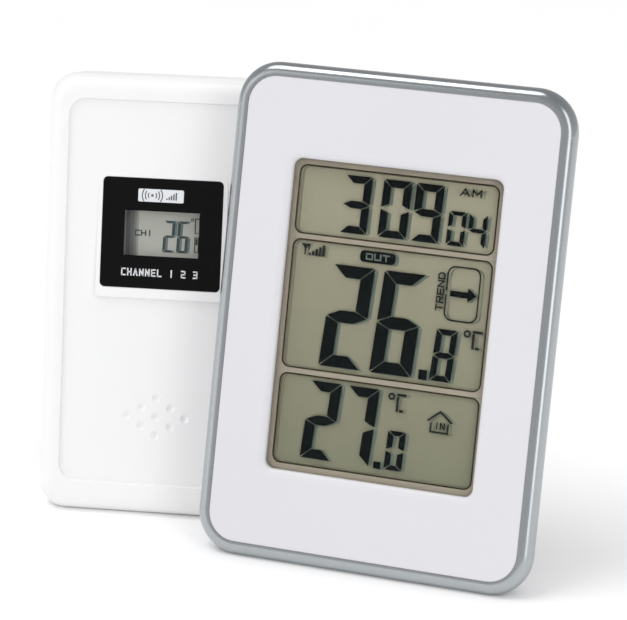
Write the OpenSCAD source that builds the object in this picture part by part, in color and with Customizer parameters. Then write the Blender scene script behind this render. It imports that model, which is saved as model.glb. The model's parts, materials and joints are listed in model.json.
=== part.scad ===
// Wireless indoor and outdoor thermometer: a leaning display station and its remote sensor.
// Millimetres. +Z is up, the display faces -Y and +X is at its right hand.
// The origin is the middle of the flat land under the station's ring.

/* [Station case] */
// Width over the ring
station_w = 90; // [87:1:110]
// Height over the ring
station_h = 127; // [125:1:150]
// Outer corner radius of the ring
station_corner = 11; // [10:0.5:12]
// Lean of the display, in degrees
station_lean = 15.8; // [12:0.1:18]
// Radius of the ring's round bead
ring_bead = 3.1; // [2.9:0.1:3.5]
// Width of the ring seen from the front
ring_band = 3.6; // [3.4:0.1:4.2]
// Depth of the ring
ring_depth = 5.6; // [5:0.1:5.7]
// Depth of the flat land under the ring
ring_land = 0.35; // [0.2:0.05:0.5]
// Slope of the case's sides, from the ring to the back
tray_taper = 3; // [1:0.1:3.5]
// Wall thickness of both cases
wall = 1.6; // [1.3:0.1:1.9]

/* [Display] */
// Width of the window
window_w = 55.8; // [50:0.1:57]
// Height of the window
window_h = 79.7; // [70:0.1:82]
// Corner radius of the window
window_corner = 2.3; // [1.5:0.1:3]
// Width of the bevel round the window
window_bevel = 2.2; // [1:0.1:2.6]
// Thickness of the front panel
panel_t = 2.05; // [1.8:0.05:2.4]
// Setback of the front panel from the ring's crest
panel_set = 0.15; // [0.1:0.05:0.3]
// Thickness of the clear lens
lens_t = 0.8; // [0.6:0.1:1.2]
// Thickness of one sheet of display glass
glass_t = 0.9; // [0.7:0.1:1.1]
// Thickness of the circuit boards
board_t = 1.2; // [1:0.1:1.6]

/* [Cells] */
// Diameter of a cell
cell_d = 10.5; // [10:0.1:11]
// Length of a cell with its nub
cell_l = 44.5; // [43:0.1:45.5]
// Thickness of the battery doors
door_t = 1.6; // [1.4:0.1:2]

/* [Stand] */
// Width of the station's stand leg
leg_w = 30; // [24:1:34]
// Thickness of the stand leg
leg_t = 3; // [2.6:0.1:3.4]
// Height of the leg's pivot above the ring's foot
leg_pivot = 62; // [56:0.5:63]
// Opening of the leg, in degrees
leg_swing = 28; // [24:0.5:32]
// Radius of the hinge pins
pin_r = 0.8; // [0.7:0.05:1]

/* [Buttons] */
// Radius of a set button
button_r = 3; // [2.5:0.1:3.3]
// Height that a button stands proud
button_proud = 0.8; // [0.5:0.1:1.2]
// Travel of a button
button_travel = 0.6; // [0.4:0.05:0.7]
// Length of a button's stem behind its flange
button_stem = 0.8; // [0.5:0.1:1.5]
// Height of the lower buttons above the ring's foot
button_low = 30; // [28:0.5:34]
// Spacing of the buttons in a column
button_pitch = 16; // [12:0.5:18]

/* [Wall hanging] */
// Radius of the station's keyhole
station_key_r = 4; // [3.5:0.1:4.5]
// Radius of the sensor's keyhole
sensor_key_r = 3.5; // [3:0.1:4]
// Radius of the keyholes' narrow end
key_slot_r = 2; // [1.5:0.1:2.2]
// Length of the keyholes' slot
key_slot = 6; // [5:0.5:7]

/* [Sensor case] */
// Width of the sensor
sensor_w = 63.7; // [60:0.1:72]
// Height of the sensor
sensor_h = 116; // [114:1:130]
// Corner radius seen from the front
sensor_corner = 7.5; // [7:0.5:10]
// Radius of the rounded front edge
sensor_round = 5; // [4:0.1:5.5]
// Radius of the rounded back edge
sensor_rear_round = 3; // [2:0.1:4]
// Depth of the seam between front and rear cover
sensor_seam = 11; // [10:0.1:12]
// Lean of the sensor, in degrees
sensor_lean = 14; // [12:0.1:15]
// Turn of the sensor about the vertical, in degrees
sensor_yaw = 11.7; // [8:0.1:14]
// Height of the front face's foot above the floor
sensor_lift = 0.8; // [0.5:0.1:2]
// Width of the sensor that stands behind the station
sensor_lap = 13; // [8:0.25:14]
// Room between the station's case and the sensor's upper end
sensor_room = 3.9; // [3:0.1:12]
// Border width at the sides of the recessed front
border_x = 6.2; // [4.5:0.1:7]
// Border width above the recessed front
border_top = 6.7; // [6:0.1:8]
// Border width below the recessed front
border_foot = 8.1; // [6:0.1:9]
// Corner radius of the recessed front
recess_corner = 4.5; // [3:0.1:6]
// Depth of the recessed front
recess = 0.7; // [0.4:0.1:1]

/* [Sensor window] */
// Width of the black window plate
bezel_w = 32; // [30:0.5:34]
// Height of the black window plate
bezel_h = 28.8; // [26:0.1:30]
// Height of the plate's middle above the sensor's foot
bezel_y = 74.7; // [72:0.1:76]
// Rise of the plate's lower edge
bezel_rise = 1; // [0.6:0.1:1.4]
// Width of the clear opening
sight_w = 20; // [18:0.5:22]
// Height of the clear opening
sight_h = 11.8; // [10:0.1:13]

/* [Sensor dimples] */
// Radius of a dimple's ball
dimple_r = 1.6; // [1.2:0.1:2]
// Depth of a dimple
dimple_deep = 0.5; // [0.3:0.1:0.6]
// Height of the middle dimple above the sensor's foot
dimple_y = 26.2; // [22:0.1:30]
// Step of the dimples across
dimple_dx = 3.9; // [3:0.1:5]
// Step of the dimples upwards
dimple_dy = 2.45; // [2:0.05:3]

/* [Sensor stand and controls] */
// Width of the sensor's leg
prop_w = 24; // [20:1:26]
// Thickness of the sensor's leg
prop_t = 2.6; // [2.2:0.1:3]
// Height of its pivot above the sensor's foot
prop_pivot = 50; // [47:0.5:51]
// Opening of the sensor's leg, in degrees
prop_swing = 22; // [18:0.5:26]
// Height of the switch and the send button above the sensor's foot
control_y = 32; // [30:0.5:36]
// Travel of the channel switch to each side
switch_travel = 2; // [1:0.1:2.5]
// Radius of the send button
send_r = 2.2; // [1.8:0.1:2.6]

/* [Hidden] */
$fn = 64;
white = [0.93, 0.93, 0.94];
silver = [0.56, 0.59, 0.6];
board_green = [0.1, 0.4, 0.2];
steel = [0.75, 0.76, 0.78];
black = [0.05, 0.05, 0.06];
grey = [0.45, 0.46, 0.48];
display_olive = [0.6, 0.6, 0.5];
clear = 0.3;

// Clearances, and the length by which a cut runs past what it cuts
fit = 0.1;
pin_fit = 0.02;
run_fit = 0.06;
gap = 0.3;
past = 1;

// Station, depths behind the ring's crest
panel_back = panel_set + panel_t;
window_land = 0.6;
flange_t = 1.4;
flange_back = panel_back + flange_t;
flange_w = 4;
lens_back = panel_back + lens_t;
lcd_front = lens_back + fit;
lcd_ledge = lcd_front + glass_t;
lcd_back = lcd_ledge + glass_t;
film_t = 0.3;
film_back = lcd_back + film_t;
holder_wall = 1.2;
holder_ledge = 0.8;
holder_back = film_back + holder_ledge;
board_gap = 0.6;
board_front = holder_back + board_gap;
board_back = board_front + board_t;

// Tactile switches and the buttons over them
tact_w = 4.6;
tact_t = 0.9;
tact_pin_r = 1.2;
tact_pin_t = 0.3;
tact_h = tact_t + tact_pin_t;
button_rest = 0.2;
button_stem_r = 1.4;
button_flange = 0.7;
button_flange_t = 1;
button_tip = board_back + tact_h + button_travel + button_rest;
button_root = button_tip + button_stem;
button_shelf = button_root + button_flange_t;
tray_depth = button_shelf + gap + wall;

// Station, outlines
rebate = 1.6;
ring_inner = station_corner - ring_band;
face_w = station_w - 2 * ring_band;
face_h = station_h - 2 * ring_band;
rim_r = ring_inner + rebate - fit;
core_w = station_w - 2 * station_corner;
core_h = station_h - 2 * station_corner;
station_mid = station_h / 2;
station_lift = ring_bead - ring_land - ring_bead * (cos(station_lean) - sin(station_lean));
station_set = -ring_bead * (cos(station_lean) + sin(station_lean));

// Display
lens_lap = 1.4;
lcd_lap = 2.1;
lcd_w = window_w + 2 * lcd_lap;
lcd_h = window_h + 2 * lcd_lap;
lcd_foot = station_mid - lcd_h / 2;
ledge_h = 3;
holder_w = lcd_w + 2 * (fit + holder_wall);
holder_h = lcd_h + 2 * (fit + holder_wall);
zebra_side = 5;
zebra_t = 2;

// Battery compartments
contact_t = 0.4;
contact_room = 1.75;
contact_margin = 1.5;
contact_bump_r = 1.6;
cell_gap = 0.2;
cell_room = 0.4;
nub_r = 1.9;
nub_l = 1.2;
comp_l = cell_l + 2 * contact_room;
comp_h = 2 * cell_d + 3 * cell_gap;
comp_floor = 1.2;
comp_lip = 1.2;
comp_gap = 0.5;
comp_rise = 1.65;
door_gap = 0.3;
door_pin_r = 0.5;
door_pin_l = 1.4;
door_edge = 0.05;
door_barrel = door_t / 2 - door_edge;
door_w = comp_l + 2 * comp_lip;
door_h = comp_h + 2 * comp_lip;
block_w = door_w + 2 * (door_gap + wall);
block_h = door_h + 2 * (door_gap + wall);
function cell_axis(front) = front + comp_floor + cell_gap + cell_d / 2;
function comp_back(front) = cell_axis(front) + cell_d / 2 + cell_room + door_t;
function door_hinge_y(y) = y + door_h / 2 - door_barrel;
function door_hinge_depth(back) = back - door_t / 2;
station_comp = holder_back + comp_gap;

// Hump of the station's case
hump_depth = comp_back(station_comp);
hump_bevel = 1.2;
hump_corner = 5;
hump_w = block_w + 2 * hump_bevel;
hump_foot = 9;
hump_top = station_h - hump_foot;
hump_h = hump_top - hump_foot;
hump_mid = (hump_top + hump_foot) / 2;

// Ledge beside the hump, wide enough for a button. The case's sides slope less where it needs room.
ledge_end = wall + gap + button_flange;
tray_half = max(core_w / 2 + rim_r - tray_taper, hump_w / 2 + gap + 2 * button_r + ledge_end);
side_slope = core_w / 2 + rim_r - tray_half;
side_x = min((hump_w / 2 + tray_half) / 2, tray_half - ledge_end - button_r);

// Legs
leg_side = 3;
leg_extra = 0.6;
leg_corner = 3;
barrel_swell = 0.2;
heel_room = 0.5;
function barrel(t) = t / 2 + barrel_swell;
function leg_axis(back, t) = back - barrel(t) - fit;
function leg_floor(back, t) = leg_axis(back, t) - barrel(t) - gap;
function leg_heel(t, swing) = (barrel(t) + gap - fit) / sin(swing);
function leg_reach(pivot, axis, lean, lift, swing) =
    (pivot * cos(lean) - axis * sin(lean) + lift) / cos(swing - lean);
function trough_top(pivot, t, swing) = pivot + leg_heel(t, swing) + heel_room;
station_leg_axis = leg_axis(hump_depth, leg_t);
station_reach = leg_reach(leg_pivot, station_leg_axis, station_lean, station_lift, leg_swing);
station_comp_y = trough_top(leg_pivot, leg_t, leg_swing) + wall + comp_rise + block_h / 2;

// Screws, bosses and the main board
boss_r = 2;
screw_r = 0.9;
screw_head_r = 1.8;
screw_head_t = 1.2;
case_boss_r = 3;
case_screw_r = 1.1;
case_head_r = 2.1;
case_sink = 2.2;
case_tail = 2;
case_seat = tray_depth - case_sink;
case_floor = 2.8;
case_root = case_seat - case_floor;
case_low = 11;
case_high = station_h - case_low;
board_edge = 4;
board_rise = 0.5;
board_top = station_comp_y - block_h / 2 - board_edge;
board_boss_x = holder_w / 2 + gap + boss_r;
board_w = 2 * max(side_x + tact_w / 2 + gap, board_boss_x + boss_r);
board_screw_low = min(lcd_foot + board_rise, button_low - tact_w / 2 - screw_head_r - gap);
board_screw_high = board_top - board_edge;
board_foot = board_screw_low - board_edge;

// Pieces on the boards
chip_y = 36;
chip_r = 6;
chip_t = 1.5;
crystal_x = 14;
crystal_r = 1.5;
crystal_h = 3.5;
radio_t = 1;
radio_h = 6.5;
radio_margin = 1.5;
receiver_x = 17;
receiver_y = 51;
receiver_w = 18;
antenna_r = 0.4;
antenna_l = 32;
bead_r = 1.2;
bead_lead = 3;
bead_lead_r = 0.4;
bead_x = -26;

// Vents and keyholes
vent_w = 5;
vent_h = 1.2;
vent_step = 2.4;
vent_rise = 6.5;
vent_low = case_low + vent_rise;
function key_place(comp_y, top, r) = (comp_y + block_h / 2 + top + r - key_slot - key_slot_r) / 2;
station_key_y = key_place(station_comp_y, hump_top, station_key_r);

// Sensor, depths behind its front plane
cover_back = recess + wall;
sensor_glass_gap = 0.2;
sensor_glass_t = 1.6;
sensor_stack = 3.7;
sensor_glass = cover_back + sensor_glass_gap;
sensor_board_front = cover_back + sensor_stack;
sensor_board_back = sensor_board_front + board_t;
sensor_comp = sensor_board_back + comp_gap;
sensor_depth = comp_back(sensor_comp);
sensor_shelf = sensor_depth - wall - gap;
sensor_prop_axis = leg_axis(sensor_depth, prop_t);
sensor_reach = leg_reach(prop_pivot, sensor_prop_axis, sensor_lean, sensor_lift, prop_swing);
sensor_comp_y = trough_top(prop_pivot, prop_t, prop_swing) + wall + comp_rise + block_h / 2;

// Sensor, its place behind the station
sensor_tilt = sensor_h * cos(sensor_lean) * (tan(station_lean) - tan(sensor_lean));
sensor_near = station_set + tray_depth / cos(station_lean) + sensor_tilt + sensor_room;
sensor_x = sensor_lap - station_w / 2 - sensor_w / 2 * cos(sensor_yaw);
sensor_y = sensor_near - sensor_w / 2 * sin(sensor_yaw);

// Sensor, outlines. The floor cuts a sole into the lower end, and the inside starts above it.
sensor_mid = sensor_h / 2;
sensor_core_w = sensor_w - 2 * sensor_corner;
sensor_core_h = sensor_h - 2 * sensor_corner;
sole_room = 1;
sole = (sensor_depth * sin(sensor_lean) - sensor_lift) / cos(sensor_lean) + wall + sole_room;
cavity_r = 5;
cavity_step = 2.4;
cavity_w = sensor_w - 2 * wall;
cavity_top = sensor_h - wall;
cavity_h = cavity_top - sole;
cavity_mid = (cavity_top + sole) / 2;
sensor_key_y = key_place(sensor_comp_y, cavity_top, sensor_key_r);
seal_w = 0.6;
seal_t = 0.8;

// Sensor window
bezel_t = 1.2;
bezel_corner = 1.2;
bezel_margin = 1.3;
bezel_skirt = 2.8;
wedge_w = bezel_w + 2 * bezel_margin;
wedge_foot = bezel_y - bezel_h / 2 - bezel_skirt;
wedge_top = bezel_y + bezel_h / 2 + bezel_margin;
wedge_slope = bezel_rise / (wedge_top - wedge_foot);
glass_lap = 3;
glass_w = sight_w + 2 * glass_lap;
glass_h = sight_h + 2 * glass_lap;

// Sensor board and what is on it
sensor_board_side = 7;
sensor_board_rise = 16;
sensor_board_w = sensor_w - 2 * sensor_board_side;
sensor_board_foot = sole + sensor_board_rise;
sensor_boss_x = sensor_board_w / 2 - board_edge;
sensor_boss_low = sensor_board_foot + board_edge;
sensor_boss_high = sensor_comp_y + block_h / 2 + gap + screw_head_r;
sensor_board_top = sensor_boss_high + board_edge;
sensor_case_inset = cavity_step + case_boss_r + gap;
sensor_case_x = cavity_w / 2 - sensor_case_inset;
sensor_case_low = sole + sensor_case_inset;
sensor_case_high = cavity_top - sensor_case_inset;
sensor_case_lap = 1.5;
sensor_case_root = sensor_seam - sensor_case_lap;
sensor_case_seat = sensor_case_root + case_floor;
sensor_chip_y = 48;
sensor_chip_r = 5;
sensor_vent_low = sensor_case_low + vent_rise;
transmitter_y = 38;
transmitter_w = 14;
sensor_antenna_l = 16;
control_inset = 10;
control_x = sensor_w / 2 - control_inset;
knob_w = 3;
knob_h = 2.6;
knob_lip = 1;
knob_proud = 0.7;
knob_plate_t = 1;
switch_w = 9;
switch_h = 4;
switch_t = 3;
send_proud = 0.4;
send_tip = sensor_board_back + tact_h + button_travel + button_rest;

// Places the station's flat frame: x right, y up the face, z to the viewer
module on_station()
    translate([0, station_set, station_lift])
        rotate([90 - station_lean, 0, 0])
            children();

// Places the sensor's flat frame
module on_sensor()
    translate([sensor_x, sensor_y, sensor_lift])
        rotate([0, 0, sensor_yaw])
            rotate([90 - sensor_lean, 0, 0])
                children();

// Cuts off what reaches below the floor
module above_floor() {
    reach = 2 * (station_h + sensor_h);
    difference() {
        children();
        translate([-reach / 2, -reach / 2, -reach])
            cube(reach);
    }
}

// Rounded rectangle with true arcs
module rounded(w, h, r) {
    square([w - 2 * r, h], center = true);
    square([w, h - 2 * r], center = true);
    for (sx = [-1, 1], sy = [-1, 1])
        translate([sx * (w / 2 - r), sy * (h / 2 - r)])
            circle(r);
}

// Quarter of a disc
module quarter(r)
    intersection() {
        circle(r);
        square(r);
    }

// Outline extruded between two depths
module slab(front, back)
    translate([0, 0, -back])
        linear_extrude(back - front)
            children();

// Round post along the depth
module post(x, y, r, front, back)
    translate([x, y, 0])
        slab(front, back)
            circle(r);

// Box between two depths, centred on x and y
module brick(x, y, w, h, front, back)
    translate([x, y, 0])
        slab(front, back)
            square([w, h], center = true);

// Bar along x
module cross_bar(y, depth, r, length)
    translate([0, y, -depth])
        rotate([0, 90, 0])
            cylinder(r = r, h = length, center = true);

// Profile carried round a rounded rectangle. Its x runs outwards from the corner's arc centre
// and its y to the viewer.
module sweep(w, h, r)
    for (k = [0 : 3]) {
        reach = (k % 2 == 0 ? w : h) / 2 - r;
        side = (k % 2 == 0 ? h : w) / 2 - r;
        rotate(90 * k)
            translate([reach, 0, 0])
                rotate([90, 0, 0])
                    linear_extrude(2 * side, center = true)
                        children();
        rotate(90 * k)
            translate([reach, side, 0])
                rotate_extrude(angle = 90)
                    children();
    }

// Rounded block with a bevel round its back
module bevelled(w, h, r, front, back, bevel) {
    slab(front, back - bevel)
        rounded(w, h, r);
    slab(back - bevel, back)
        square([w - 2 * r, h - 2 * r], center = true);
    sweep(w, h, r)
        polygon([[0, bevel - back], [r, bevel - back], [r - bevel, -back], [0, -back]]);
}

// Well that narrows with depth, for a bevelled window
module flared(w, h, r, flare, front, back) {
    slab(front, back)
        square([w - 2 * r, h - 2 * r], center = true);
    sweep(w, h, r)
        polygon([[0, -front], [r + flare, -front], [r, -back], [0, -back]]);
}

// Keyhole: a round hole with a narrow slot above it
module keyhole(y, r, back) {
    front = back - 2 * wall;
    post(0, y, r, front, back + past);
    brick(0, y + key_slot / 2, 2 * key_slot_r, key_slot, front, back + past);
    post(0, y + key_slot, key_slot_r, front, back + past);
}

// Screw with a round head at its back
module screw(x, y, r, head_r, root, seat) {
    post(x, y, r, root, seat);
    post(x, y, head_r, seat, seat + screw_head_t);
}

// Blind hole for a screw in the back end of a boss
module pilot(x, y, r, front, back)
    post(x, y, r + pin_fit, front + past, back + past);

// Three vent slots, one above the other
module vents(x, y, front, back)
    for (k = [0 : 2])
        brick(x, y + vent_step * k, vent_w, vent_h, front, back);

// Solid block round a battery compartment, before its pocket is cut
module comp_block(y, front, back)
    brick(0, y, block_w, block_h, front, back);

// Pocket of a battery compartment with its door seat and hinge sockets
module comp_pocket(y, front, back) {
    brick(0, y, comp_l, comp_h, front + comp_floor, back + past);
    brick(0, y, door_w + 2 * door_gap, door_h + 2 * door_gap, back - door_t, back + past);
    cross_bar(door_hinge_y(y), door_hinge_depth(back), door_pin_r + run_fit,
        door_w + 2 * (door_gap + door_pin_l));
}

// Battery door with a rolled hinge edge and two trunnions
module comp_door(y, back) {
    axis_y = door_hinge_y(y);
    axis_depth = door_hinge_depth(back);
    foot = y - door_h / 2;
    brick(0, (foot + axis_y) / 2, door_w, axis_y - foot, back - door_t, back);
    cross_bar(axis_y, axis_depth, door_barrel, door_w);
    cross_bar(axis_y, axis_depth, door_pin_r, door_w + 2 * (door_gap + door_pin_l - fit));
}

// One cell along x with its nub at the given side
module cell(y, depth, side)
    translate([0, y, -depth])
        rotate([0, side * 90, 0])
            translate([0, 0, -cell_l / 2]) {
                cylinder(r = cell_d / 2, h = cell_l - nub_l);
                cylinder(r = nub_r, h = cell_l);
            }

// The two cells of a compartment, one turned round
module cell_pair(y, front)
    for (s = [-1, 1])
        cell(y + s * (cell_d + cell_gap) / 2, cell_axis(front), s);

// Contact plate at one end, with a bump for each cell it serves
module contact(y, h, bumps, depth, side) {
    half = cell_d / 2 - contact_margin;
    brick(side * (comp_l - contact_t) / 2, y, contact_t, h, depth - half, depth + half);
    for (b = bumps)
        translate([side * cell_l / 2, b, -depth])
            rotate([0, side * 90, 0])
                cylinder(r = contact_bump_r, h = contact_room - contact_t);
}

// Bridge at one end of a compartment and two terminals at the other
module contact_set(y, front) {
    depth = cell_axis(front);
    rows = [for (s = [-1, 1]) y + s * (cell_d + cell_gap) / 2];
    contact(y, comp_h - 2 * contact_margin, rows, depth, -1);
    for (row = rows)
        contact(row, cell_d - 2 * contact_margin, [row], depth, 1);
}

// Shell of the trough that a folded leg lies in
module trough_shell(pivot, w, t, swing, back, foot) {
    top = trough_top(pivot, t, swing) + wall;
    brick(0, (top + foot) / 2, w + 2 * (gap + leg_side), top - foot, leg_floor(back, t) - wall, back);
}

// Room of the trough, open at its foot, with the holes for the pin
module trough_room(pivot, w, t, swing, back) {
    top = trough_top(pivot, t, swing);
    brick(0, (top - past) / 2, w + 2 * gap, top + past, leg_floor(back, t), back + past);
    cross_bar(pivot, leg_axis(back, t), pin_r + pin_fit, w + 2 * (gap + leg_side + past));
}

// Leg with a bored barrel, and a heel that stops on the trough's floor when it is open
module leg(w, t, swing, reach) {
    length = reach + leg_extra;
    difference() {
        union() {
            translate([0, -length / 2, -t / 2])
                linear_extrude(t)
                    rounded(w, length, leg_corner);
            translate([0, -leg_corner / 2, 0])
                cube([w, leg_corner, t], center = true);
            rotate([0, 90, 0])
                cylinder(r = barrel(t), h = w, center = true);
            translate([-w / 2, 0, -t / 2])
                cube([w, leg_heel(t, swing), t / 2]);
        }
        rotate([0, 90, 0])
            cylinder(r = pin_r + run_fit, h = w + past, center = true);
    }
}

// Leg at its pivot, swung open
module open_leg(w, t, pivot, axis, reach, swing)
    translate([0, pivot, -axis])
        rotate([swing, 0, 0])
            leg(w, t, swing, reach);

// Pin of a leg
module leg_pin(w, pivot, axis)
    cross_bar(pivot, axis, pin_r, w + 2 * (gap + leg_side));

// Radio board standing on its edge, with a can on it
module radio(x, y, w, board) {
    brick(x, y, w, radio_t, board, board + radio_h);
    brick(x, y + radio_t, w / 2, radio_t, board + radio_margin, board + radio_h - radio_margin);
}

// Temperature bead on a straight lead
module bead(x, y, board) {
    post(x, y, bead_lead_r, board, board + bead_lead);
    translate([x, y, -board - bead_lead])
        sphere(bead_r);
}

// Switch body with its plunger
module tact(x, y, board) {
    brick(x, y, tact_w, tact_w, board, board + tact_t);
    post(x, y, tact_pin_r, board + tact_t, board + tact_h);
}

// Round button with a flange behind the case wall and a stem to its switch
module push_button(x, y, r, tip, shelf, back) {
    root = shelf - button_flange_t;
    post(x, y, button_stem_r, tip, root);
    post(x, y, r + button_flange, root, shelf);
    post(x, y, r, shelf, back);
}

// Section of the ring: a round bead with a rebate behind its lip
module ring_section()
    difference() {
        translate([station_corner - ring_bead, -ring_bead])
            circle(ring_bead);
        translate([ring_inner - 2 * ring_bead, -2 * ring_bead - past])
            square([2 * ring_bead, 2 * ring_bead + 2 * past]);
        translate([ring_inner - past, -2 * ring_bead - past])
            square([rebate + past, 2 * ring_bead + past - panel_back]);
        translate([0, -2 * ring_bead - past])
            square([2 * station_corner, 2 * ring_bead + past - ring_depth]);
    }

module trim_ring()
    color(silver)
        above_floor()
            on_station()
                translate([0, station_mid, 0])
                    sweep(station_w, station_h, station_corner)
                        ring_section();

// Face plate and the flange behind the ring's lip, with the window cut through
module face_plate()
    translate([0, station_mid, 0])
        difference() {
            union() {
                slab(panel_set, panel_back)
                    rounded(face_w - 2 * fit, face_h - 2 * fit, ring_inner - fit);
                slab(panel_back, flange_back)
                    difference() {
                        rounded(core_w + 2 * rim_r, core_h + 2 * rim_r, rim_r);
                        square([face_w - 2 * flange_w, face_h - 2 * flange_w], center = true);
                    }
            }
            flared(window_w, window_h, window_corner, window_bevel, panel_set, panel_back - window_land);
            slab(panel_set, panel_back + past)
                rounded(window_w, window_h, window_corner);
        }

module front_panel()
    color(white)
        on_station()
            difference() {
                union() {
                    face_plate();
                    for (sx = [-1, 1]) {
                        for (y = [board_screw_low, board_screw_high])
                            post(sx * board_boss_x, y, boss_r, panel_back, board_front);
                        for (y = [case_low, case_high])
                            post(sx * side_x, y, case_boss_r, panel_back, case_root);
                    }
                }
                for (sx = [-1, 1]) {
                    for (y = [board_screw_low, board_screw_high])
                        pilot(sx * board_boss_x, y, screw_r, panel_back, board_front);
                    for (y = [case_low, case_high])
                        pilot(sx * side_x, y, case_screw_r, panel_back, case_root);
                }
            }

module lens()
    color(white, clear)
        on_station()
            translate([0, station_mid, 0])
                slab(panel_back, lens_back)
                    rounded(window_w + 2 * lens_lap, window_h + 2 * lens_lap, window_corner);

module lcd_cell()
    color(display_olive)
        on_station() {
            brick(0, station_mid, lcd_w, lcd_h, lcd_front, lcd_ledge);
            brick(0, station_mid + ledge_h / 2, lcd_w, lcd_h - ledge_h, lcd_ledge, lcd_back);
        }

module reflector()
    color(silver)
        on_station()
            brick(0, station_mid + ledge_h / 2, lcd_w, lcd_h - ledge_h, lcd_back, film_back);

module lcd_holder()
    color(white)
        on_station()
            difference() {
                brick(0, station_mid, holder_w, holder_h, lens_back, holder_back);
                brick(0, station_mid, lcd_w + 2 * fit, lcd_h + 2 * fit, 0, film_back);
                brick(0, station_mid, lcd_w - 2 * ledge_h, lcd_h - 2 * ledge_h, 0, holder_back + past);
                brick(0, lcd_foot + ledge_h / 2, lcd_w - 2 * (zebra_side - fit), zebra_t + 2 * fit,
                    0, holder_back + past);
            }

module zebra_strip()
    color(grey)
        on_station()
            brick(0, lcd_foot + ledge_h / 2, lcd_w - 2 * zebra_side, zebra_t, lcd_ledge, board_front);

module main_board()
    color(board_green)
        on_station()
            difference() {
                brick(0, (board_foot + board_top) / 2, board_w, board_top - board_foot,
                    board_front, board_back);
                for (sx = [-1, 1], y = [board_screw_low, board_screw_high])
                    post(sx * board_boss_x, y, screw_r + fit, 0, board_back + past);
            }

module board_screws()
    color(steel)
        on_station()
            for (sx = [-1, 1], y = [board_screw_low, board_screw_high])
                screw(sx * board_boss_x, y, screw_r, screw_head_r, panel_back + past, board_back);

module chip()
    color(black)
        on_station()
            post(0, chip_y, chip_r, board_back, board_back + chip_t);

module crystal()
    color(steel)
        on_station()
            post(crystal_x, chip_y, crystal_r, board_back, board_back + crystal_h);

module receiver()
    color(board_green)
        on_station()
            radio(receiver_x, receiver_y, receiver_w, board_back);

module antenna()
    color(steel)
        on_station()
            translate([receiver_x - (receiver_w + antenna_l) / 2, 0, 0])
                cross_bar(receiver_y, board_back + radio_h / 2, antenna_r, antenna_l);

module thermistor()
    color(black)
        on_station()
            bead(bead_x, board_screw_low, board_back);

module tact_switches()
    color(black)
        on_station()
            for (sx = [-1, 1], k = [0, 1])
                tact(sx * side_x, button_low + k * button_pitch, board_back);

// Wall of the shallow case: a rim inside the ring, sloping sides and the edge of the back
module tray_section() {
    inside = rim_r - side_slope * (1 - wall / (tray_depth - ring_depth)) - wall;
    polygon([
        [rim_r, -flange_back], [rim_r, -ring_depth], [rim_r - side_slope, -tray_depth], [0, -tray_depth],
        [0, wall - tray_depth], [inside, wall - tray_depth], [rim_r - wall, -ring_depth],
        [rim_r - wall, -flange_back]
    ]);
}

// Shallow case with the hump on its back, hollow inside
module housing_shell()
    difference() {
        union() {
            translate([0, station_mid, 0]) {
                sweep(station_w, station_h, station_corner)
                    tray_section();
                slab(tray_depth - wall, tray_depth)
                    square([core_w, core_h], center = true);
            }
            translate([0, hump_mid, 0])
                bevelled(hump_w, hump_h, hump_corner, tray_depth - wall, hump_depth, hump_bevel);
        }
        translate([0, hump_mid, 0])
            slab(0, hump_depth - wall)
                rounded(hump_w - 2 * wall, hump_h - 2 * wall, hump_corner - wall);
    }

module rear_housing()
    color(white)
        on_station()
            difference() {
                union() {
                    housing_shell();
                    trough_shell(leg_pivot, leg_w, leg_t, leg_swing, hump_depth, hump_foot + hump_bevel);
                    comp_block(station_comp_y, station_comp, hump_depth);
                    for (sx = [-1, 1], y = [case_low, case_high])
                        post(sx * side_x, y, case_boss_r, case_root, tray_depth - wall / 2);
                }
                trough_room(leg_pivot, leg_w, leg_t, leg_swing, hump_depth);
                comp_pocket(station_comp_y, station_comp, hump_depth);
                keyhole(station_key_y, station_key_r, hump_depth);
                for (sx = [-1, 1]) {
                    for (k = [0, 1])
                        post(sx * side_x, button_low + k * button_pitch, button_r + gap / 2,
                            button_shelf, tray_depth + past);
                    for (y = [case_low, case_high]) {
                        post(sx * side_x, y, case_screw_r + fit, 0, tray_depth);
                        post(sx * side_x, y, case_head_r + fit, case_seat, tray_depth + past);
                    }
                }
                vents(-side_x, vent_low, button_shelf, tray_depth + past);
            }

module battery_door()
    color(white)
        on_station()
            comp_door(station_comp_y, hump_depth);

module station_cells()
    color(grey)
        on_station()
            cell_pair(station_comp_y, station_comp);

module station_contacts()
    color(steel)
        on_station()
            contact_set(station_comp_y, station_comp);

module stand_leg()
    color(white)
        above_floor()
            on_station()
                open_leg(leg_w, leg_t, leg_pivot, station_leg_axis, station_reach, leg_swing);

module stand_pin()
    color(steel)
        on_station()
            leg_pin(leg_w, leg_pivot, station_leg_axis);

// Set button at one side, in the lower or the upper row
module set_button(side, row)
    color(grey)
        on_station()
            push_button(side * side_x, button_low + row * button_pitch, button_r, button_tip, button_shelf,
                tray_depth + button_proud);

module button_mode() set_button(-1, 1);
module button_set() set_button(-1, 0);
module button_up() set_button(1, 1);
module button_down() set_button(1, 0);

module case_screws()
    color(steel)
        on_station()
            for (sx = [-1, 1], y = [case_low, case_high])
                screw(sx * side_x, y, case_screw_r, case_head_r, panel_back + case_tail, case_seat);

// Outline of the sensor's inside, grown outwards by a margin
module cavity_outline(grow)
    translate([0, cavity_mid])
        rounded(cavity_w + 2 * grow, cavity_h + 2 * grow, cavity_r + grow);

// Edge of the sensor's front cover, rounded at the front
module cover_section() {
    translate([0, -sensor_seam])
        square([sensor_corner, sensor_seam - sensor_round]);
    translate([0, -sensor_round])
        square([sensor_corner - sensor_round, sensor_round]);
    translate([sensor_corner - sensor_round, -sensor_round])
        quarter(sensor_round);
}

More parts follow.
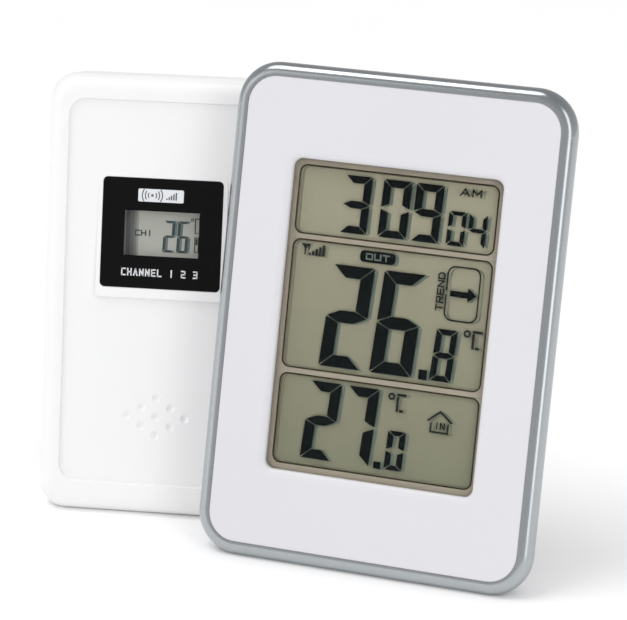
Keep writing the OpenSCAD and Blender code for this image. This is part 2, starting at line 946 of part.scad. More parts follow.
// Edge of the sensor's rear cover, rounded at the back
module rear_section() {
    translate([0, sensor_rear_round - sensor_depth])
        square([sensor_corner, sensor_depth - sensor_seam - sensor_rear_round]);
    translate([0, -sensor_depth])
        square([sensor_corner - sensor_rear_round, sensor_rear_round]);
    translate([sensor_corner - sensor_rear_round, sensor_rear_round - sensor_depth])
        mirror([0, 1])
            quarter(sensor_rear_round);
}

// Full block of one sensor cover: its edge section and the core inside it
module cover_block(front, back)
    translate([0, sensor_mid, 0]) {
        sweep(sensor_w, sensor_h, sensor_corner)
            children();
        slab(front, back)
            square([sensor_core_w, sensor_core_h], center = true);
    }

// Front cover, hollow, with the recess in its face
module cover_shell()
    difference() {
        cover_block(0, sensor_seam)
            cover_section();
        translate([0, sensor_mid + (border_foot - border_top) / 2, 0])
            slab(-past, recess)
                rounded(sensor_w - 2 * border_x, sensor_h - border_top - border_foot, recess_corner);
        slab(cover_back, sensor_round)
            cavity_outline(-cavity_step);
        slab(sensor_round, sensor_seam + past)
            cavity_outline(0);
    }

// Wedge under the window plate: flush at its top and proud at its foot
module wedge()
    rotate([90, 0, 90])
        linear_extrude(wedge_w, center = true)
            polygon([
                [wedge_foot, -cover_back], [wedge_top, -cover_back],
                [wedge_top, -recess], [wedge_foot, bezel_rise - recess]
            ]);

// Frame of the window plate, with its origin on the wedge's sloping front
module on_wedge()
    translate([0, bezel_y, wedge_slope * (wedge_top - bezel_y) - recess])
        rotate([-atan(wedge_slope), 0, 0])
            children();

module sensor_front()
    color(white)
        above_floor()
            on_sensor()
                difference() {
                    union() {
                        cover_shell();
                        wedge();
                        for (sx = [-1, 1]) {
                            for (y = [sensor_boss_low, sensor_boss_high])
                                post(sx * sensor_boss_x, y, boss_r, cover_back, sensor_board_front);
                            for (y = [sensor_case_low, sensor_case_high])
                                post(sx * sensor_case_x, y, case_boss_r, cover_back, sensor_case_root);
                        }
                    }
                    on_wedge() {
                        slab(-past, bezel_t - fit)
                            rounded(bezel_w + 2 * fit, bezel_h + 2 * fit, bezel_corner + fit);
                        slab(0, cover_back + 2 * past)
                            square([sight_w + past, sight_h + past], center = true);
                    }
                    for (i = [-1 : 1], j = [-1 : 1])
                        translate([(i - j) * dimple_dx, dimple_y + (i + j) * dimple_dy,
                            dimple_r - dimple_deep - recess])
                            sphere(dimple_r);
                    for (sx = [-1, 1]) {
                        for (y = [sensor_boss_low, sensor_boss_high])
                            pilot(sx * sensor_boss_x, y, screw_r, cover_back, sensor_board_front);
                        for (y = [sensor_case_low, sensor_case_high])
                            pilot(sx * sensor_case_x, y, case_screw_r, cover_back, sensor_case_root);
                    }
                }

module sensor_bezel()
    color(black)
        on_sensor()
            on_wedge()
                slab(-fit, bezel_t - fit)
                    difference() {
                        rounded(bezel_w, bezel_h, bezel_corner);
                        square([sight_w, sight_h], center = true);
                    }

module sensor_lens()
    color(white, clear)
        on_sensor()
            on_wedge()
                slab(-fit / 2, bezel_t - fit)
                    square([sight_w - 2 * pin_fit, sight_h - 2 * pin_fit], center = true);

module sensor_lcd()
    color(display_olive)
        on_sensor()
            brick(0, bezel_y, glass_w, glass_h, sensor_glass, sensor_glass + sensor_glass_t);

module sensor_holder()
    color(grey)
        on_sensor()
            difference() {
                brick(0, bezel_y, glass_w + 2 * (fit + holder_wall), glass_h + 2 * (fit + holder_wall),
                    cover_back, sensor_board_front);
                brick(0, bezel_y, glass_w + 2 * fit, glass_h + 2 * fit, 0, sensor_board_front + past);
            }

module sensor_zebra()
    color(grey)
        on_sensor()
            brick(0, bezel_y - glass_h / 2 + zebra_t, glass_w - 2 * zebra_t, zebra_t,
                sensor_glass + sensor_glass_t, sensor_board_front);

module sensor_board()
    color(board_green)
        on_sensor()
            difference() {
                brick(0, (sensor_board_foot + sensor_board_top) / 2, sensor_board_w,
                    sensor_board_top - sensor_board_foot, sensor_board_front, sensor_board_back);
                for (sx = [-1, 1], y = [sensor_boss_low, sensor_boss_high])
                    post(sx * sensor_boss_x, y, screw_r + fit, 0, sensor_board_back + past);
            }

module sensor_board_screws()
    color(steel)
        on_sensor()
            for (sx = [-1, 1], y = [sensor_boss_low, sensor_boss_high])
                screw(sx * sensor_boss_x, y, screw_r, screw_head_r, cover_back + past, sensor_board_back);

module sensor_chip()
    color(black)
        on_sensor()
            post(0, sensor_chip_y, sensor_chip_r, sensor_board_back, sensor_board_back + chip_t);

module transmitter()
    color(board_green)
        on_sensor()
            radio(0, transmitter_y, transmitter_w, sensor_board_back);

module sensor_antenna()
    color(steel)
        on_sensor()
            translate([(transmitter_w + sensor_antenna_l) / 2, 0, 0])
                cross_bar(transmitter_y, sensor_board_back + radio_h / 2, antenna_r, sensor_antenna_l);

module sensor_thermistor()
    color(black)
        on_sensor()
            bead(0, sensor_boss_low, sensor_board_back);

module sensor_seal()
    color(black)
        on_sensor()
            slab(sensor_seam, sensor_seam + seal_t)
                difference() {
                    cavity_outline((wall + seal_w) / 2 - pin_fit);
                    cavity_outline((wall - seal_w) / 2 + pin_fit);
                }

module sensor_rear()
    color(white)
        above_floor()
            on_sensor()
                difference() {
                    union() {
                        difference() {
                            cover_block(sensor_seam, sensor_depth)
                                rear_section();
                            slab(0, sensor_depth - wall)
                                cavity_outline(0);
                        }
                        trough_shell(prop_pivot, prop_w, prop_t, prop_swing, sensor_depth, sole);
                        comp_block(sensor_comp_y, sensor_comp, sensor_depth);
                        for (sx = [-1, 1], y = [sensor_case_low, sensor_case_high])
                            post(sx * sensor_case_x, y, case_boss_r, sensor_case_root,
                                sensor_depth - wall / 2);
                    }
                    slab(0, sensor_seam + seal_t)
                        difference() {
                            cavity_outline((wall + seal_w) / 2);
                            cavity_outline((wall - seal_w) / 2);
                        }
                    trough_room(prop_pivot, prop_w, prop_t, prop_swing, sensor_depth);
                    comp_pocket(sensor_comp_y, sensor_comp, sensor_depth);
                    keyhole(sensor_key_y, sensor_key_r, sensor_depth);
                    for (sx = [-1, 1], y = [sensor_case_low, sensor_case_high]) {
                        post(sx * sensor_case_x, y, case_screw_r + fit, 0, sensor_depth);
                        post(sx * sensor_case_x, y, case_head_r + fit, sensor_case_seat, sensor_depth + past);
                    }
                    brick(control_x, control_y, knob_w + 2 * (switch_travel + gap), knob_h + 2 * gap,
                        sensor_shelf, sensor_depth + past);
                    post(-control_x, control_y, send_r + gap / 2, sensor_shelf, sensor_depth + past);
                    vents(-control_x, sensor_vent_low, sensor_shelf, sensor_depth + past);
                }

module sensor_door()
    color(white)
        on_sensor()
            comp_door(sensor_comp_y, sensor_depth);

module sensor_cells()
    color(grey)
        on_sensor()
            cell_pair(sensor_comp_y, sensor_comp);

module sensor_contacts()
    color(steel)
        on_sensor()
            contact_set(sensor_comp_y, sensor_comp);

module switch_body()
    color(steel)
        on_sensor()
            brick(control_x, control_y, switch_w, switch_h, sensor_board_back, sensor_board_back + switch_t);

module channel_switch()
    color(black)
        on_sensor() {
            brick(control_x, control_y, knob_w, knob_h, sensor_board_back + switch_t + gap,
                sensor_depth + knob_proud);
            brick(control_x, control_y, knob_w + 2 * knob_lip, knob_h + 2 * knob_lip,
                sensor_shelf - knob_plate_t, sensor_shelf);
        }

module send_tact()
    color(black)
        on_sensor()
            tact(-control_x, control_y, sensor_board_back);

module send_button()
    color(grey)
        on_sensor()
            push_button(-control_x, control_y, send_r, send_tip, sensor_shelf, sensor_depth + send_proud);

module sensor_leg()
    color(white)
        above_floor()
            on_sensor()
                open_leg(prop_w, prop_t, prop_pivot, sensor_prop_axis, sensor_reach, prop_swing);

module sensor_pin()
    color(steel)
        on_sensor()
            leg_pin(prop_w, prop_pivot, sensor_prop_axis);

module sensor_case_screws()
    color(steel)
        on_sensor()
            for (sx = [-1, 1], y = [sensor_case_low, sensor_case_high])
                screw(sx * sensor_case_x, y, case_screw_r, case_head_r, cover_back + case_tail,
                    sensor_case_seat);

trim_ring();
front_panel();
lens();
lcd_cell();
reflector();
lcd_holder();
zebra_strip();
main_board();
board_screws();
chip();
crystal();
receiver();
antenna();
thermistor();
tact_switches();
rear_housing();
battery_door();
station_cells();
station_contacts();
stand_leg();
stand_pin();
button_mode();
button_set();
button_up();
button_down();
case_screws();
sensor_front();
sensor_bezel();
sensor_lens();
sensor_lcd();
sensor_holder();
sensor_zebra();
sensor_board();
sensor_board_screws();
sensor_chip();
transmitter();
sensor_antenna();
sensor_thermistor();
sensor_seal();
sensor_rear();
sensor_door();
sensor_cells();
sensor_contacts();
switch_body();
channel_switch();
send_tact();
send_button();
sensor_leg();
sensor_pin();
sensor_case_screws();
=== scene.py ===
import json
import math

import bmesh
import bpy
from mathutils import Matrix, Vector


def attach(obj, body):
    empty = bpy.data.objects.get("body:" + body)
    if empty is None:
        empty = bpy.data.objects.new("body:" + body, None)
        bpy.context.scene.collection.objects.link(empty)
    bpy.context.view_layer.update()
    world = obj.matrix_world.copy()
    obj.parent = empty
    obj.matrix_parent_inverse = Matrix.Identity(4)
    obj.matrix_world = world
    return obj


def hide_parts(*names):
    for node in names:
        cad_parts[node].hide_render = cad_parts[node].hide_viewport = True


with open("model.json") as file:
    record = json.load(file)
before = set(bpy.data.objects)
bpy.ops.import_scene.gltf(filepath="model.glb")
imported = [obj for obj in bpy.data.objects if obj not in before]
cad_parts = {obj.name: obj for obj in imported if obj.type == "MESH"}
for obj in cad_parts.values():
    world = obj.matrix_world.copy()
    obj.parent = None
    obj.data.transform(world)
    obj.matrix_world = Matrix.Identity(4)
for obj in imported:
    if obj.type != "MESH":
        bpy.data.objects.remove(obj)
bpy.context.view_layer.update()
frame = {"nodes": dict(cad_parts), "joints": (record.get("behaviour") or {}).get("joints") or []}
nodes = frame["nodes"]
joints = {joint["name"]: joint for joint in frame["joints"]}
mm = 0.001
touch = 0.01  # mm within which points share a level

photoView = {
    "azimuth": 21.09,  # degrees to the right of the front
    "elevation": 19.9,  # degrees above the table
    "distance": 761.7,  # mm
    "target": (-19.06, 16.0, 62.83),  # mm
    "lens": 172.25,  # mm
    "sensor": 36.0,  # mm
    "nearest": 10,  # mm
}


def placeCamera(view):
    bpy.ops.object.camera_add()
    camera = bpy.context.object
    camera.name = "photoCamera"
    camera.data.lens = view["lens"]
    camera.data.sensor_width = view["sensor"]
    camera.data.clip_start = view["nearest"] * mm
    azimuth = math.radians(view["azimuth"])
    elevation = math.radians(view["elevation"])
    away = Vector((math.sin(azimuth), -math.cos(azimuth), math.tan(elevation))).normalized()
    camera.location = (Vector(view["target"]) + away * view["distance"]) * mm
    camera.rotation_euler = away.to_track_quat("Z", "Y").to_euler()
    bpy.context.scene.camera = camera


placeCamera(photoView)
print("camera placed")


# Flat frames: mm, x to the right, y up the face, z to the viewer
def boxIn(node, flat):
    places = [flat.inverted() @ corner.co for corner in nodes[node].data.vertices]
    low = Vector([min(place[axis] for place in places) for axis in range(3)])
    high = Vector([max(place[axis] for place in places) for axis in range(3)])
    return low, high


def flatFrame(node, toViewer):
    up = (Vector((0, 0, 1)) - toViewer * toViewer.z).normalized()
    turn = Matrix((up.cross(toViewer), up, toViewer)).transposed().to_4x4()
    low, high = boxIn(node, turn)
    front = Vector(((low.x + high.x) / 2, (low.y + high.y) / 2, high.z))  # middle of its front
    return turn @ Matrix.Translation(front) @ Matrix.Scale(mm, 4)


def pressWay(joint):
    return Vector(joints[joint]["axis"]).normalized()


def faceWay(node, toViewer, share=0.8):  # share: cosine of the widest turn from the viewer
    facing = [face for face in nodes[node].data.polygons if face.normal.dot(toViewer) > share]
    return max(facing, key=lambda face: face.area).normal.normalized()


aboutFace = Matrix.Rotation(math.pi, 4, "Y")
stationFlat = flatFrame("lcd_cell", pressWay("mode_press"))
stationBack = stationFlat @ aboutFace
sensorFlat = flatFrame("sensor_lcd", pressWay("send_press"))
sensorBack = sensorFlat @ aboutFace
bezelFlat = flatFrame("sensor_bezel", faceWay("sensor_bezel", pressWay("send_press")))


# Modelling steps
meshCare = {
    "drawnMerge": 0.001, "nodeMerge": 0.002,  # mm
    "flatAngle": 0.4, "sharpAngle": 25, "smoothAngle": 35,  # degrees
    "facing": 0.99,  # least z of a facing normal
}


def deselect():
    bpy.ops.object.select_all(action="DESELECT")


def makeActive(piece):
    deselect()
    piece.select_set(True)
    bpy.context.view_layer.objects.active = piece


def openMesh(piece, kind="FACE", action="SELECT"):
    makeActive(piece)
    bpy.ops.object.mode_set(mode="EDIT")
    bpy.ops.mesh.select_mode(type=kind)
    bpy.ops.mesh.select_all(action=action)


def closeMesh(piece):
    bpy.ops.object.mode_set(mode="OBJECT")
    return piece


def startPlate(name, width, height, x=0, y=0, z=0):
    deselect()
    bpy.ops.mesh.primitive_plane_add(size=1, location=(x, y, z))
    piece = bpy.context.object
    piece.name = name
    piece.scale = (width, height, 1)
    bpy.ops.object.transform_apply()
    return piece


def roundCorners(piece, radius, steps=8):
    openMesh(piece)
    bpy.ops.mesh.bevel(affect="VERTICES", offset=radius, segments=steps)
    return closeMesh(piece)


def roundedPlate(name, box, corner, steps=8):
    left, low, right, high = box
    plate = startPlate(name, right - left, high - low, (left + right) / 2, (low + high) / 2)
    return roundCorners(plate, corner, steps)


def keepRim(piece, line):
    openMesh(piece)
    bpy.ops.mesh.inset(thickness=line)
    bpy.ops.mesh.delete(type="FACE")  # the inside, which inset leaves selected
    return closeMesh(piece)


def openGaps(piece, gap):
    openMesh(piece)
    bpy.ops.mesh.inset(thickness=gap / 2, use_individual=True)
    bpy.ops.mesh.select_all(action="INVERT")
    bpy.ops.mesh.delete(type="FACE")
    return closeMesh(piece)


def flatShape(corners):
    deselect()
    bpy.ops.mesh.primitive_circle_add(vertices=len(corners), fill_type="NGON")
    piece = bpy.context.object
    for vertex, corner in zip(piece.data.vertices, corners):
        vertex.co = (corner[0], corner[1], 0)
    return piece


def flatBar(left, low, right, high):
    return flatShape([(left, high), (left, low), (right, low), (right, high)])


letterStrokes = {
    "A": [[(0, 0), (0.5, 1), (1, 0)], [(0.2, 0.36), (0.8, 0.36)]],
    "C": [[(1, 1), (0, 1), (0, 0), (1, 0)]],
    "D": [[(0, 0), (0, 1), (0.65, 1), (1, 0.7), (1, 0.3), (0.65, 0), (0, 0)]],
    "E": [[(1, 1), (0, 1), (0, 0), (1, 0)], [(0, 0.5), (0.85, 0.5)]],
    "H": [[(0, 0), (0, 1)], [(1, 0), (1, 1)], [(0, 0.5), (1, 0.5)]],
    "I": [[(0.5, 0), (0.5, 1)]],
    "L": [[(0, 1), (0, 0), (1, 0)]],
    "M": [[(0, 0), (0, 1), (0.5, 0.3), (1, 1), (1, 0)]],
    "N": [[(0, 0), (0, 1), (1, 0), (1, 1)]],
    "O": [[(0, 0), (0, 1), (1, 1), (1, 0), (0, 0)]],
    "R": [[(0, 0), (0, 1), (1, 1), (1, 0.5), (0, 0.5)], [(0.4, 0.5), (1, 0)]],
    "S": [[(1, 1), (0, 1), (0, 0.5), (1, 0.5), (1, 0), (0, 0)]],
    "T": [[(0, 1), (1, 1)], [(0.5, 0), (0.5, 1)]],
    "U": [[(0, 1), (0, 0), (1, 0), (1, 1)]],
    "1": [[(0.5, 0), (0.5, 1)]],
    "2": [[(0, 1), (1, 1), (1, 0.5), (0, 0.5), (0, 0), (1, 0)]],
    "3": [[(0, 1), (1, 1), (1, 0), (0, 0)], [(0.2, 0.5), (1, 0.5)]],
}


def strokeLine(points, line):
    shapes = []
    for first, last in zip(points, points[1:]):
        along = (Vector(last) - Vector(first)).normalized() * line / 2
        side = Vector((-along.y, along.x))
        start = Vector(first) - along
        end = Vector(last) + along
        shapes.append(flatShape([start + side, start - side, end - side, end + side]))
    return shapes


def strokeWord(word, box, line, turned=False, share=0.7):
    left, low, right, high = box
    long, tall = (high - low, right - left) if turned else (right - left, high - low)
    cell = (long - line) / (len(word) - 1 + share)  # share: how much of its cell a letter takes
    shapes = []
    for place, letter in enumerate(word):
        for stroke in letterStrokes.get(letter, []):
            points = []
            for u, v in stroke:
                along = line / 2 + (place + share * u) * cell
                up = line / 2 + v * (tall - line)
                points.append((right - up, low + along) if turned else (left + along, low + up))
            shapes += strokeLine(points, line)
    return shapes


def arcPoints(x, y, radius, start, end, steps=8):
    turns = [math.radians(start + (end - start) * step / steps) for step in range(steps + 1)]
    return [(x + radius * math.cos(turn), y + radius * math.sin(turn)) for turn in turns]


def joinAll(pieces, name):
    deselect()
    for piece in pieces:
        piece.select_set(True)
    bpy.context.view_layer.objects.active = pieces[0]
    if len(pieces) > 1:
        bpy.ops.object.join()
    joined = bpy.context.object
    joined.name = name
    return joined


def twinOf(piece, name, x=0.0, y=0.0):
    twin = piece.copy()
    twin.data = piece.data.copy()
    twin.name = name
    bpy.context.scene.collection.objects.link(twin)
    twin.data.transform(Matrix.Translation((x, y, 0)))
    return twin


def applyModifier(piece, kind, **settings):
    makeActive(piece)
    modifier = piece.modifiers.new(kind.lower(), kind)
    for setting, value in settings.items():
        setattr(modifier, setting, value)
    bpy.ops.object.modifier_apply(modifier=modifier.name)
    return piece


def thicken(piece, depth, lift=0.0):
    openMesh(piece)
    bpy.ops.mesh.remove_doubles(threshold=meshCare["drawnMerge"])
    bpy.ops.mesh.normals_make_consistent(inside=False)
    closeMesh(piece)
    if piece.data.polygons[0].normal.z < 0:
        piece.data.flip_normals()
    for corner in piece.data.vertices:
        corner.co.z = lift + depth
    return applyModifier(piece, "SOLIDIFY", thickness=depth, offset=-1)


# Copy of a CAD node in a flat frame, its triangles merged into whole faces
def looseCopy(node, name, flat):
    piece = bpy.data.objects.new(name, nodes[node].data.copy())
    bpy.context.scene.collection.objects.link(piece)
    piece.data.transform(flat.inverted())
    makeActive(piece)
    bpy.ops.mesh.customdata_custom_splitnormals_clear()
    openMesh(piece)
    bpy.ops.mesh.remove_doubles(threshold=meshCare["nodeMerge"])
    bpy.ops.mesh.dissolve_limited(angle_limit=math.radians(meshCare["flatAngle"]))
    return closeMesh(piece)


def facingFaces(piece):
    return [face for face in piece.data.polygons if face.normal.z > meshCare["facing"]]


def topOf(piece):
    return max(corner.co.z for corner in piece.data.vertices)


def footOf(piece):
    return min(corner.co.y for corner in piece.data.vertices)


def roundEdges(piece, width, steps, chosen):
    openMesh(piece, "EDGE", "DESELECT")
    net = bmesh.from_edit_mesh(piece.data)
    for edge in net.edges:
        if len(edge.link_faces) == 2 and math.degrees(edge.calc_face_angle()) > meshCare["sharpAngle"]:
            edge.select_set(chosen(edge.verts[0].co, edge.verts[1].co))
    bmesh.update_edit_mesh(piece.data)
    bpy.ops.mesh.bevel(offset=width, segments=steps, affect="EDGES", clamp_overlap=False)
    return closeMesh(piece)


def edgesAt(level):
    def chosen(start, end):
        return min(start.z, end.z) > level - touch

    return chosen


def smooth(piece):
    makeActive(piece)
    bpy.ops.object.shade_smooth_by_angle(angle=math.radians(meshCare["smoothAngle"]))
    return applyModifier(piece, "WEIGHTED_NORMAL", keep_sharp=True, weight=100)


def dress(piece, flat, body, finish, slot, *stoodFor):
    piece.data.transform(flat @ piece.matrix_basis)
    piece.matrix_basis = Matrix.Identity(4)
    piece.data.materials.clear()
    piece.data.materials.append(finishes[finish])
    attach(piece, body)
    if stoodFor:
        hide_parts(*stoodFor)
    return piece


# Shader steps, and groups that several finishes share
def noiseOn(tree, scale, detail):
    where = tree.nodes.new("ShaderNodeTexCoord")
    noise = tree.nodes.new("ShaderNodeTexNoise")
    noise.inputs["Detail"].default_value = detail
    tree.links.new(where.outputs["Object"], noise.inputs["Vector"])
    tree.links.new(scale, noise.inputs["Scale"])
    return noise.outputs["Fac"]


def heightIn(tree):
    where = tree.nodes.new("ShaderNodeTexCoord")
    parts = tree.nodes.new("ShaderNodeSeparateXYZ")
    tree.links.new(where.outputs["Object"], parts.inputs["Vector"])
    return parts.outputs["Z"]


def spreadOver(tree, value, end, low, high):  # end: "From" or "To", the other end runs from 0 to 1
    spread = tree.nodes.new("ShaderNodeMapRange")
    spread.inputs[end + " Min"].default_value = low
    spread.inputs[end + " Max"].default_value = high
    tree.links.new(value, spread.inputs["Value"])
    return spread.outputs["Result"]


def forRay(tree, ray, usual, other):  # the other shader for one kind of ray
    rays = tree.nodes.new("ShaderNodeLightPath")
    either = tree.nodes.new("ShaderNodeMixShader")
    tree.links.new(rays.outputs[ray], either.inputs["Fac"])
    tree.links.new(usual, either.inputs[1])
    tree.links.new(other, either.inputs[2])
    return either.outputs["Shader"]


def newGroup(name, inputs, outputs):
    group = bpy.data.node_groups.new(name, "ShaderNodeTree")
    for socket, value in inputs.items():
        given = group.interface.new_socket(socket, in_out="INPUT", socket_type="NodeSocketFloat")
        given.default_value = value
    for socket in outputs:
        group.interface.new_socket(socket, in_out="OUTPUT", socket_type="NodeSocketFloat")
    return group, group.nodes.new("NodeGroupInput"), group.nodes.new("NodeGroupOutput")


def perMetre(group, size):  # a size in mm as a texture's scale per metre
    scale = group.nodes.new("ShaderNodeMath")
    scale.operation = "DIVIDE"
    scale.inputs[0].default_value = 1000
    group.links.new(size, scale.inputs[1])
    return scale.outputs[0]


def mouldedGrainGroup():
    group, given, put = newGroup("mouldedGrain", {"Grain": 0.3, "Cloud": 18.0}, ("Height", "Tone", "Gloss"))
    grain = noiseOn(group, perMetre(group, given.outputs["Grain"]), 3)
    cloud = noiseOn(group, given.outputs["Cloud"], 2)
    both = group.nodes.new("ShaderNodeMath")
    both.operation = "MULTIPLY"
    for start, end in ((grain, put.inputs["Height"]), (cloud, put.inputs["Tone"]), (grain, both.inputs[0]),
                       (cloud, both.inputs[1]), (both.outputs[0], put.inputs["Gloss"])):
        group.links.new(start, end)
    return group


def flakeGroup():
    group, given, put = newGroup("paintFlake", {"Flake": 0.12}, ("Mask", "Height"))
    make = group.nodes.new
    link = group.links.new
    where = make("ShaderNodeTexCoord")
    flake = make("ShaderNodeTexVoronoi")
    link(where.outputs["Object"], flake.inputs["Vector"])
    link(perMetre(group, given.outputs["Flake"]), flake.inputs["Scale"])
    link(flake.outputs["Distance"], put.inputs["Height"])
    spread = make("ShaderNodeSeparateColor")
    link(flake.outputs["Color"], spread.inputs["Color"])
    link(spread.outputs["Red"], put.inputs["Mask"])
    return group


grainGroup = mouldedGrainGroup()
paintGroup = flakeGroup()


def newFinish(name, **sockets):
    finish = bpy.data.materials.new(name)
    finish.use_nodes = True
    shader = finish.node_tree.nodes["Principled BSDF"]
    for socket, value in sockets.items():
        shader.inputs[socket.replace("_", " ")].default_value = value
    return finish, shader


def shade(red, green, blue):  # screen colour, 0 to 255, as a linear one
    channels = [value / 255 for value in (red, green, blue)]
    return (*[c / 12.92 if c < 0.04045 else ((c + 0.055) / 1.055) ** 2.4 for c in channels], 1)


def mixColour(finish, dark, light, factor):
    mix = finish.node_tree.nodes.new("ShaderNodeMix")
    mix.data_type = "RGBA"
    mix.inputs["A"].default_value = dark
    mix.inputs["B"].default_value = light
    finish.node_tree.links.new(factor, mix.inputs["Factor"])
    return mix.outputs["Result"]


def reliefOn(finish, shader, height, strength, depth):
    relief = finish.node_tree.nodes.new("ShaderNodeBump")
    relief.inputs["Strength"].default_value = strength
    relief.inputs["Distance"].default_value = depth * mm
    finish.node_tree.links.new(height, relief.inputs["Height"])
    finish.node_tree.links.new(relief.outputs["Normal"], shader.inputs["Normal"])
    return relief


mouldedEdge = {"radius": 0.2, "samples": 6, "reliefDepth": 0.02}


def grainOn(finish, shader, dark, light, grain, bump, rough):
    make = finish.node_tree.nodes.new
    link = finish.node_tree.links.new
    group = make("ShaderNodeGroup")
    group.node_tree = grainGroup
    group.inputs["Grain"].default_value = grain
    link(mixColour(finish, shade(*dark), shade(*light), group.outputs["Tone"]), shader.inputs["Base Color"])
    softEdge = make("ShaderNodeBevel")
    softEdge.samples = mouldedEdge["samples"]
    softEdge.inputs["Radius"].default_value = mouldedEdge["radius"] * mm
    relief = reliefOn(finish, shader, group.outputs["Height"], bump, mouldedEdge["reliefDepth"])
    link(softEdge.outputs["Normal"], relief.inputs["Normal"])
    link(spreadOver(finish.node_tree, group.outputs["Gloss"], "To", *rough), shader.inputs["Roughness"])
    return finish


def plasticFinish(name, dark, light, grain=0.3, bump=0.25, rough=(0.32, 0.5), **sockets):
    finish, shader = newFinish(name, **sockets)
    return grainOn(finish, shader, dark, light, grain, bump, rough)


def metalFinish(name, dark, light):
    return plasticFinish(name, dark, light, grain=0.15, bump=0.2, rough=(0.2, 0.4), Metallic=1.0)


def inkFinish(name, dark, light):
    return plasticFinish(name, dark, light, grain=0.08, bump=0.05, rough=(0.6, 0.8), Specular_IOR_Level=0.08)


silverPaint = {"dark": (168, 172, 175), "light": (180, 184, 187), "bump": 0.08, "reliefDepth": 0.01}


def silverFinish(look):
    finish, shader = newFinish("silverPaint", Metallic=0.85, Roughness=0.2)
    group = finish.node_tree.nodes.new("ShaderNodeGroup")
    group.node_tree = paintGroup
    tone = mixColour(finish, shade(*look["dark"]), shade(*look["light"]), group.outputs["Mask"])
    finish.node_tree.links.new(tone, shader.inputs["Base Color"])
    reliefOn(finish, shader, group.outputs["Height"], look["bump"], look["reliefDepth"])
    return finish


displayPaintedShade = {"low": 24, "high": 100}  # heights in mm between which the display grows lighter: painted shade, darker towards the foot


# Finish whose tone is multiplied darker towards the display's foot: painted shade
def paintedShadeFadingFinish(name, dark, light, foot):
    finish, shader = newFinish(name, Specular_IOR_Level=0.1)
    grainOn(finish, shader, dark, light, 0.08, 0.1, (0.6, 0.8))
    tree = finish.node_tree
    link = tree.links.new
    shadeFade = spreadOver(tree, heightIn(tree), "From", displayPaintedShade["low"] * mm, displayPaintedShade["high"] * mm)
    both = tree.nodes.new("ShaderNodeMix")
    both.data_type = "RGBA"
    both.blend_type = "MULTIPLY"
    both.inputs["Factor"].default_value = 1
    link(shader.inputs["Base Color"].links[0].from_socket, both.inputs["A"])
    link(mixColour(finish, foot, (1, 1, 1, 1), shadeFade), both.inputs["B"])
    link(both.outputs["Result"], shader.inputs["Base Color"])
    return finish


def glassFinish(name, tint, roughness, ior):
    finish, shader = newFinish(name, Roughness=roughness, IOR=ior, Transmission_Weight=1.0)
    shader.inputs["Base Color"].default_value = tint
    tree = finish.node_tree
    clear = tree.nodes.new("ShaderNodeBsdfTransparent")
    clear.inputs["Color"].default_value = tint
    lit = forRay(tree, "Is Shadow Ray", shader.outputs["BSDF"], clear.outputs["BSDF"])  # lamps shine through
    tree.links.new(lit, tree.nodes["Material Output"].inputs["Surface"])
    return finish


plastics = {  # dark and light tone, grain in mm, bump, roughness
    "stationWhite": ((214, 213, 217), (219, 218, 222)),
    "sensorWhite": ((236, 236, 237), (241, 241, 241)),
    "innerPlastic": ((120, 122, 124), (130, 132, 134)),
    "reflectorFilm": ((176, 168, 150), (184, 175, 156), 0.08, 0.1, (0.6, 0.8)),
    "rubber": ((44, 44, 46), (54, 54, 56), 0.2, 0.4, (0.6, 0.85)),
    "board": ((20, 84, 48), (34, 104, 62), 0.6, 0.3, (0.25, 0.45)),
    "epoxy": ((18, 18, 20), (28, 28, 30), 0.4, 0.3, (0.2, 0.4)),
    "cellJacket": ((46, 58, 66), (56, 70, 80), 0.5, 0.05, (0.22, 0.35)),
    "cellBand": ((190, 176, 132), (204, 190, 146), 0.5, 0.05, (0.22, 0.35)),
    "greyButton": ((112, 116, 120), (122, 126, 130), 0.25, 0.3, (0.4, 0.6)),
    "whitePrint": ((220, 222, 225), (228, 230, 233), 0.1, 0.1, (0.5, 0.7)),
    "greyPrint": ((96, 98, 102), (106, 108, 112), 0.1, 0.1, (0.5, 0.7)),
    "paleFloor": ((252, 252, 253), (254, 254, 254), 4, 0.02, (0.6, 0.8)),
}
inks = {
    "displayBorder": ((160, 152, 136), (167, 159, 143)),
    "ink": ((6, 12, 12), (9, 16, 16)),
    "markInk": ((30, 36, 32), (37, 43, 39)),
    "frameInk": ((54, 48, 35), (62, 56, 42)),
    # painted shadows of the display's ink on its field; the first tone also colours the OUT letters
    "ghostInk": ((108, 120, 111), (114, 126, 117)),
    "ghostFrame": ((138, 131, 113), (144, 137, 119)),
    "sensorField": ((172, 173, 165), (179, 180, 172)),
    "sensorInk": ((62, 76, 76), (72, 86, 86)),
    # painted shadow of the sensor's digits
    "sensorGhost": ((106, 115, 113), (114, 123, 121)),
    # painted shade cast by the bezel's left wall on the sensor's display, with pale edge lines
    "sensorDim": ((86, 88, 88), (93, 95, 95)),
    "sensorShade": ((96, 98, 96), (104, 106, 104)),
    "sensorSoft": ((118, 120, 116), (126, 128, 124)),
    "sensorPale": ((146, 147, 141), (153, 154, 148)),
}
paintedShadeFadings = {  # dark and light tone, tint at the display's foot, where painted shade darkens it
    "displayField": ((160, 156, 136), (166, 162, 141), (0.62, 0.66, 0.63, 1)),
    # painted shadow of the display's marks
    "ghostFaint": ((142, 144, 128), (148, 150, 134), (0.66, 0.7, 0.67, 1)),
}
metals = {
    "steel": ((176, 178, 180), (204, 206, 208)),
    "nickel": ((188, 184, 172), (214, 210, 200)),
}
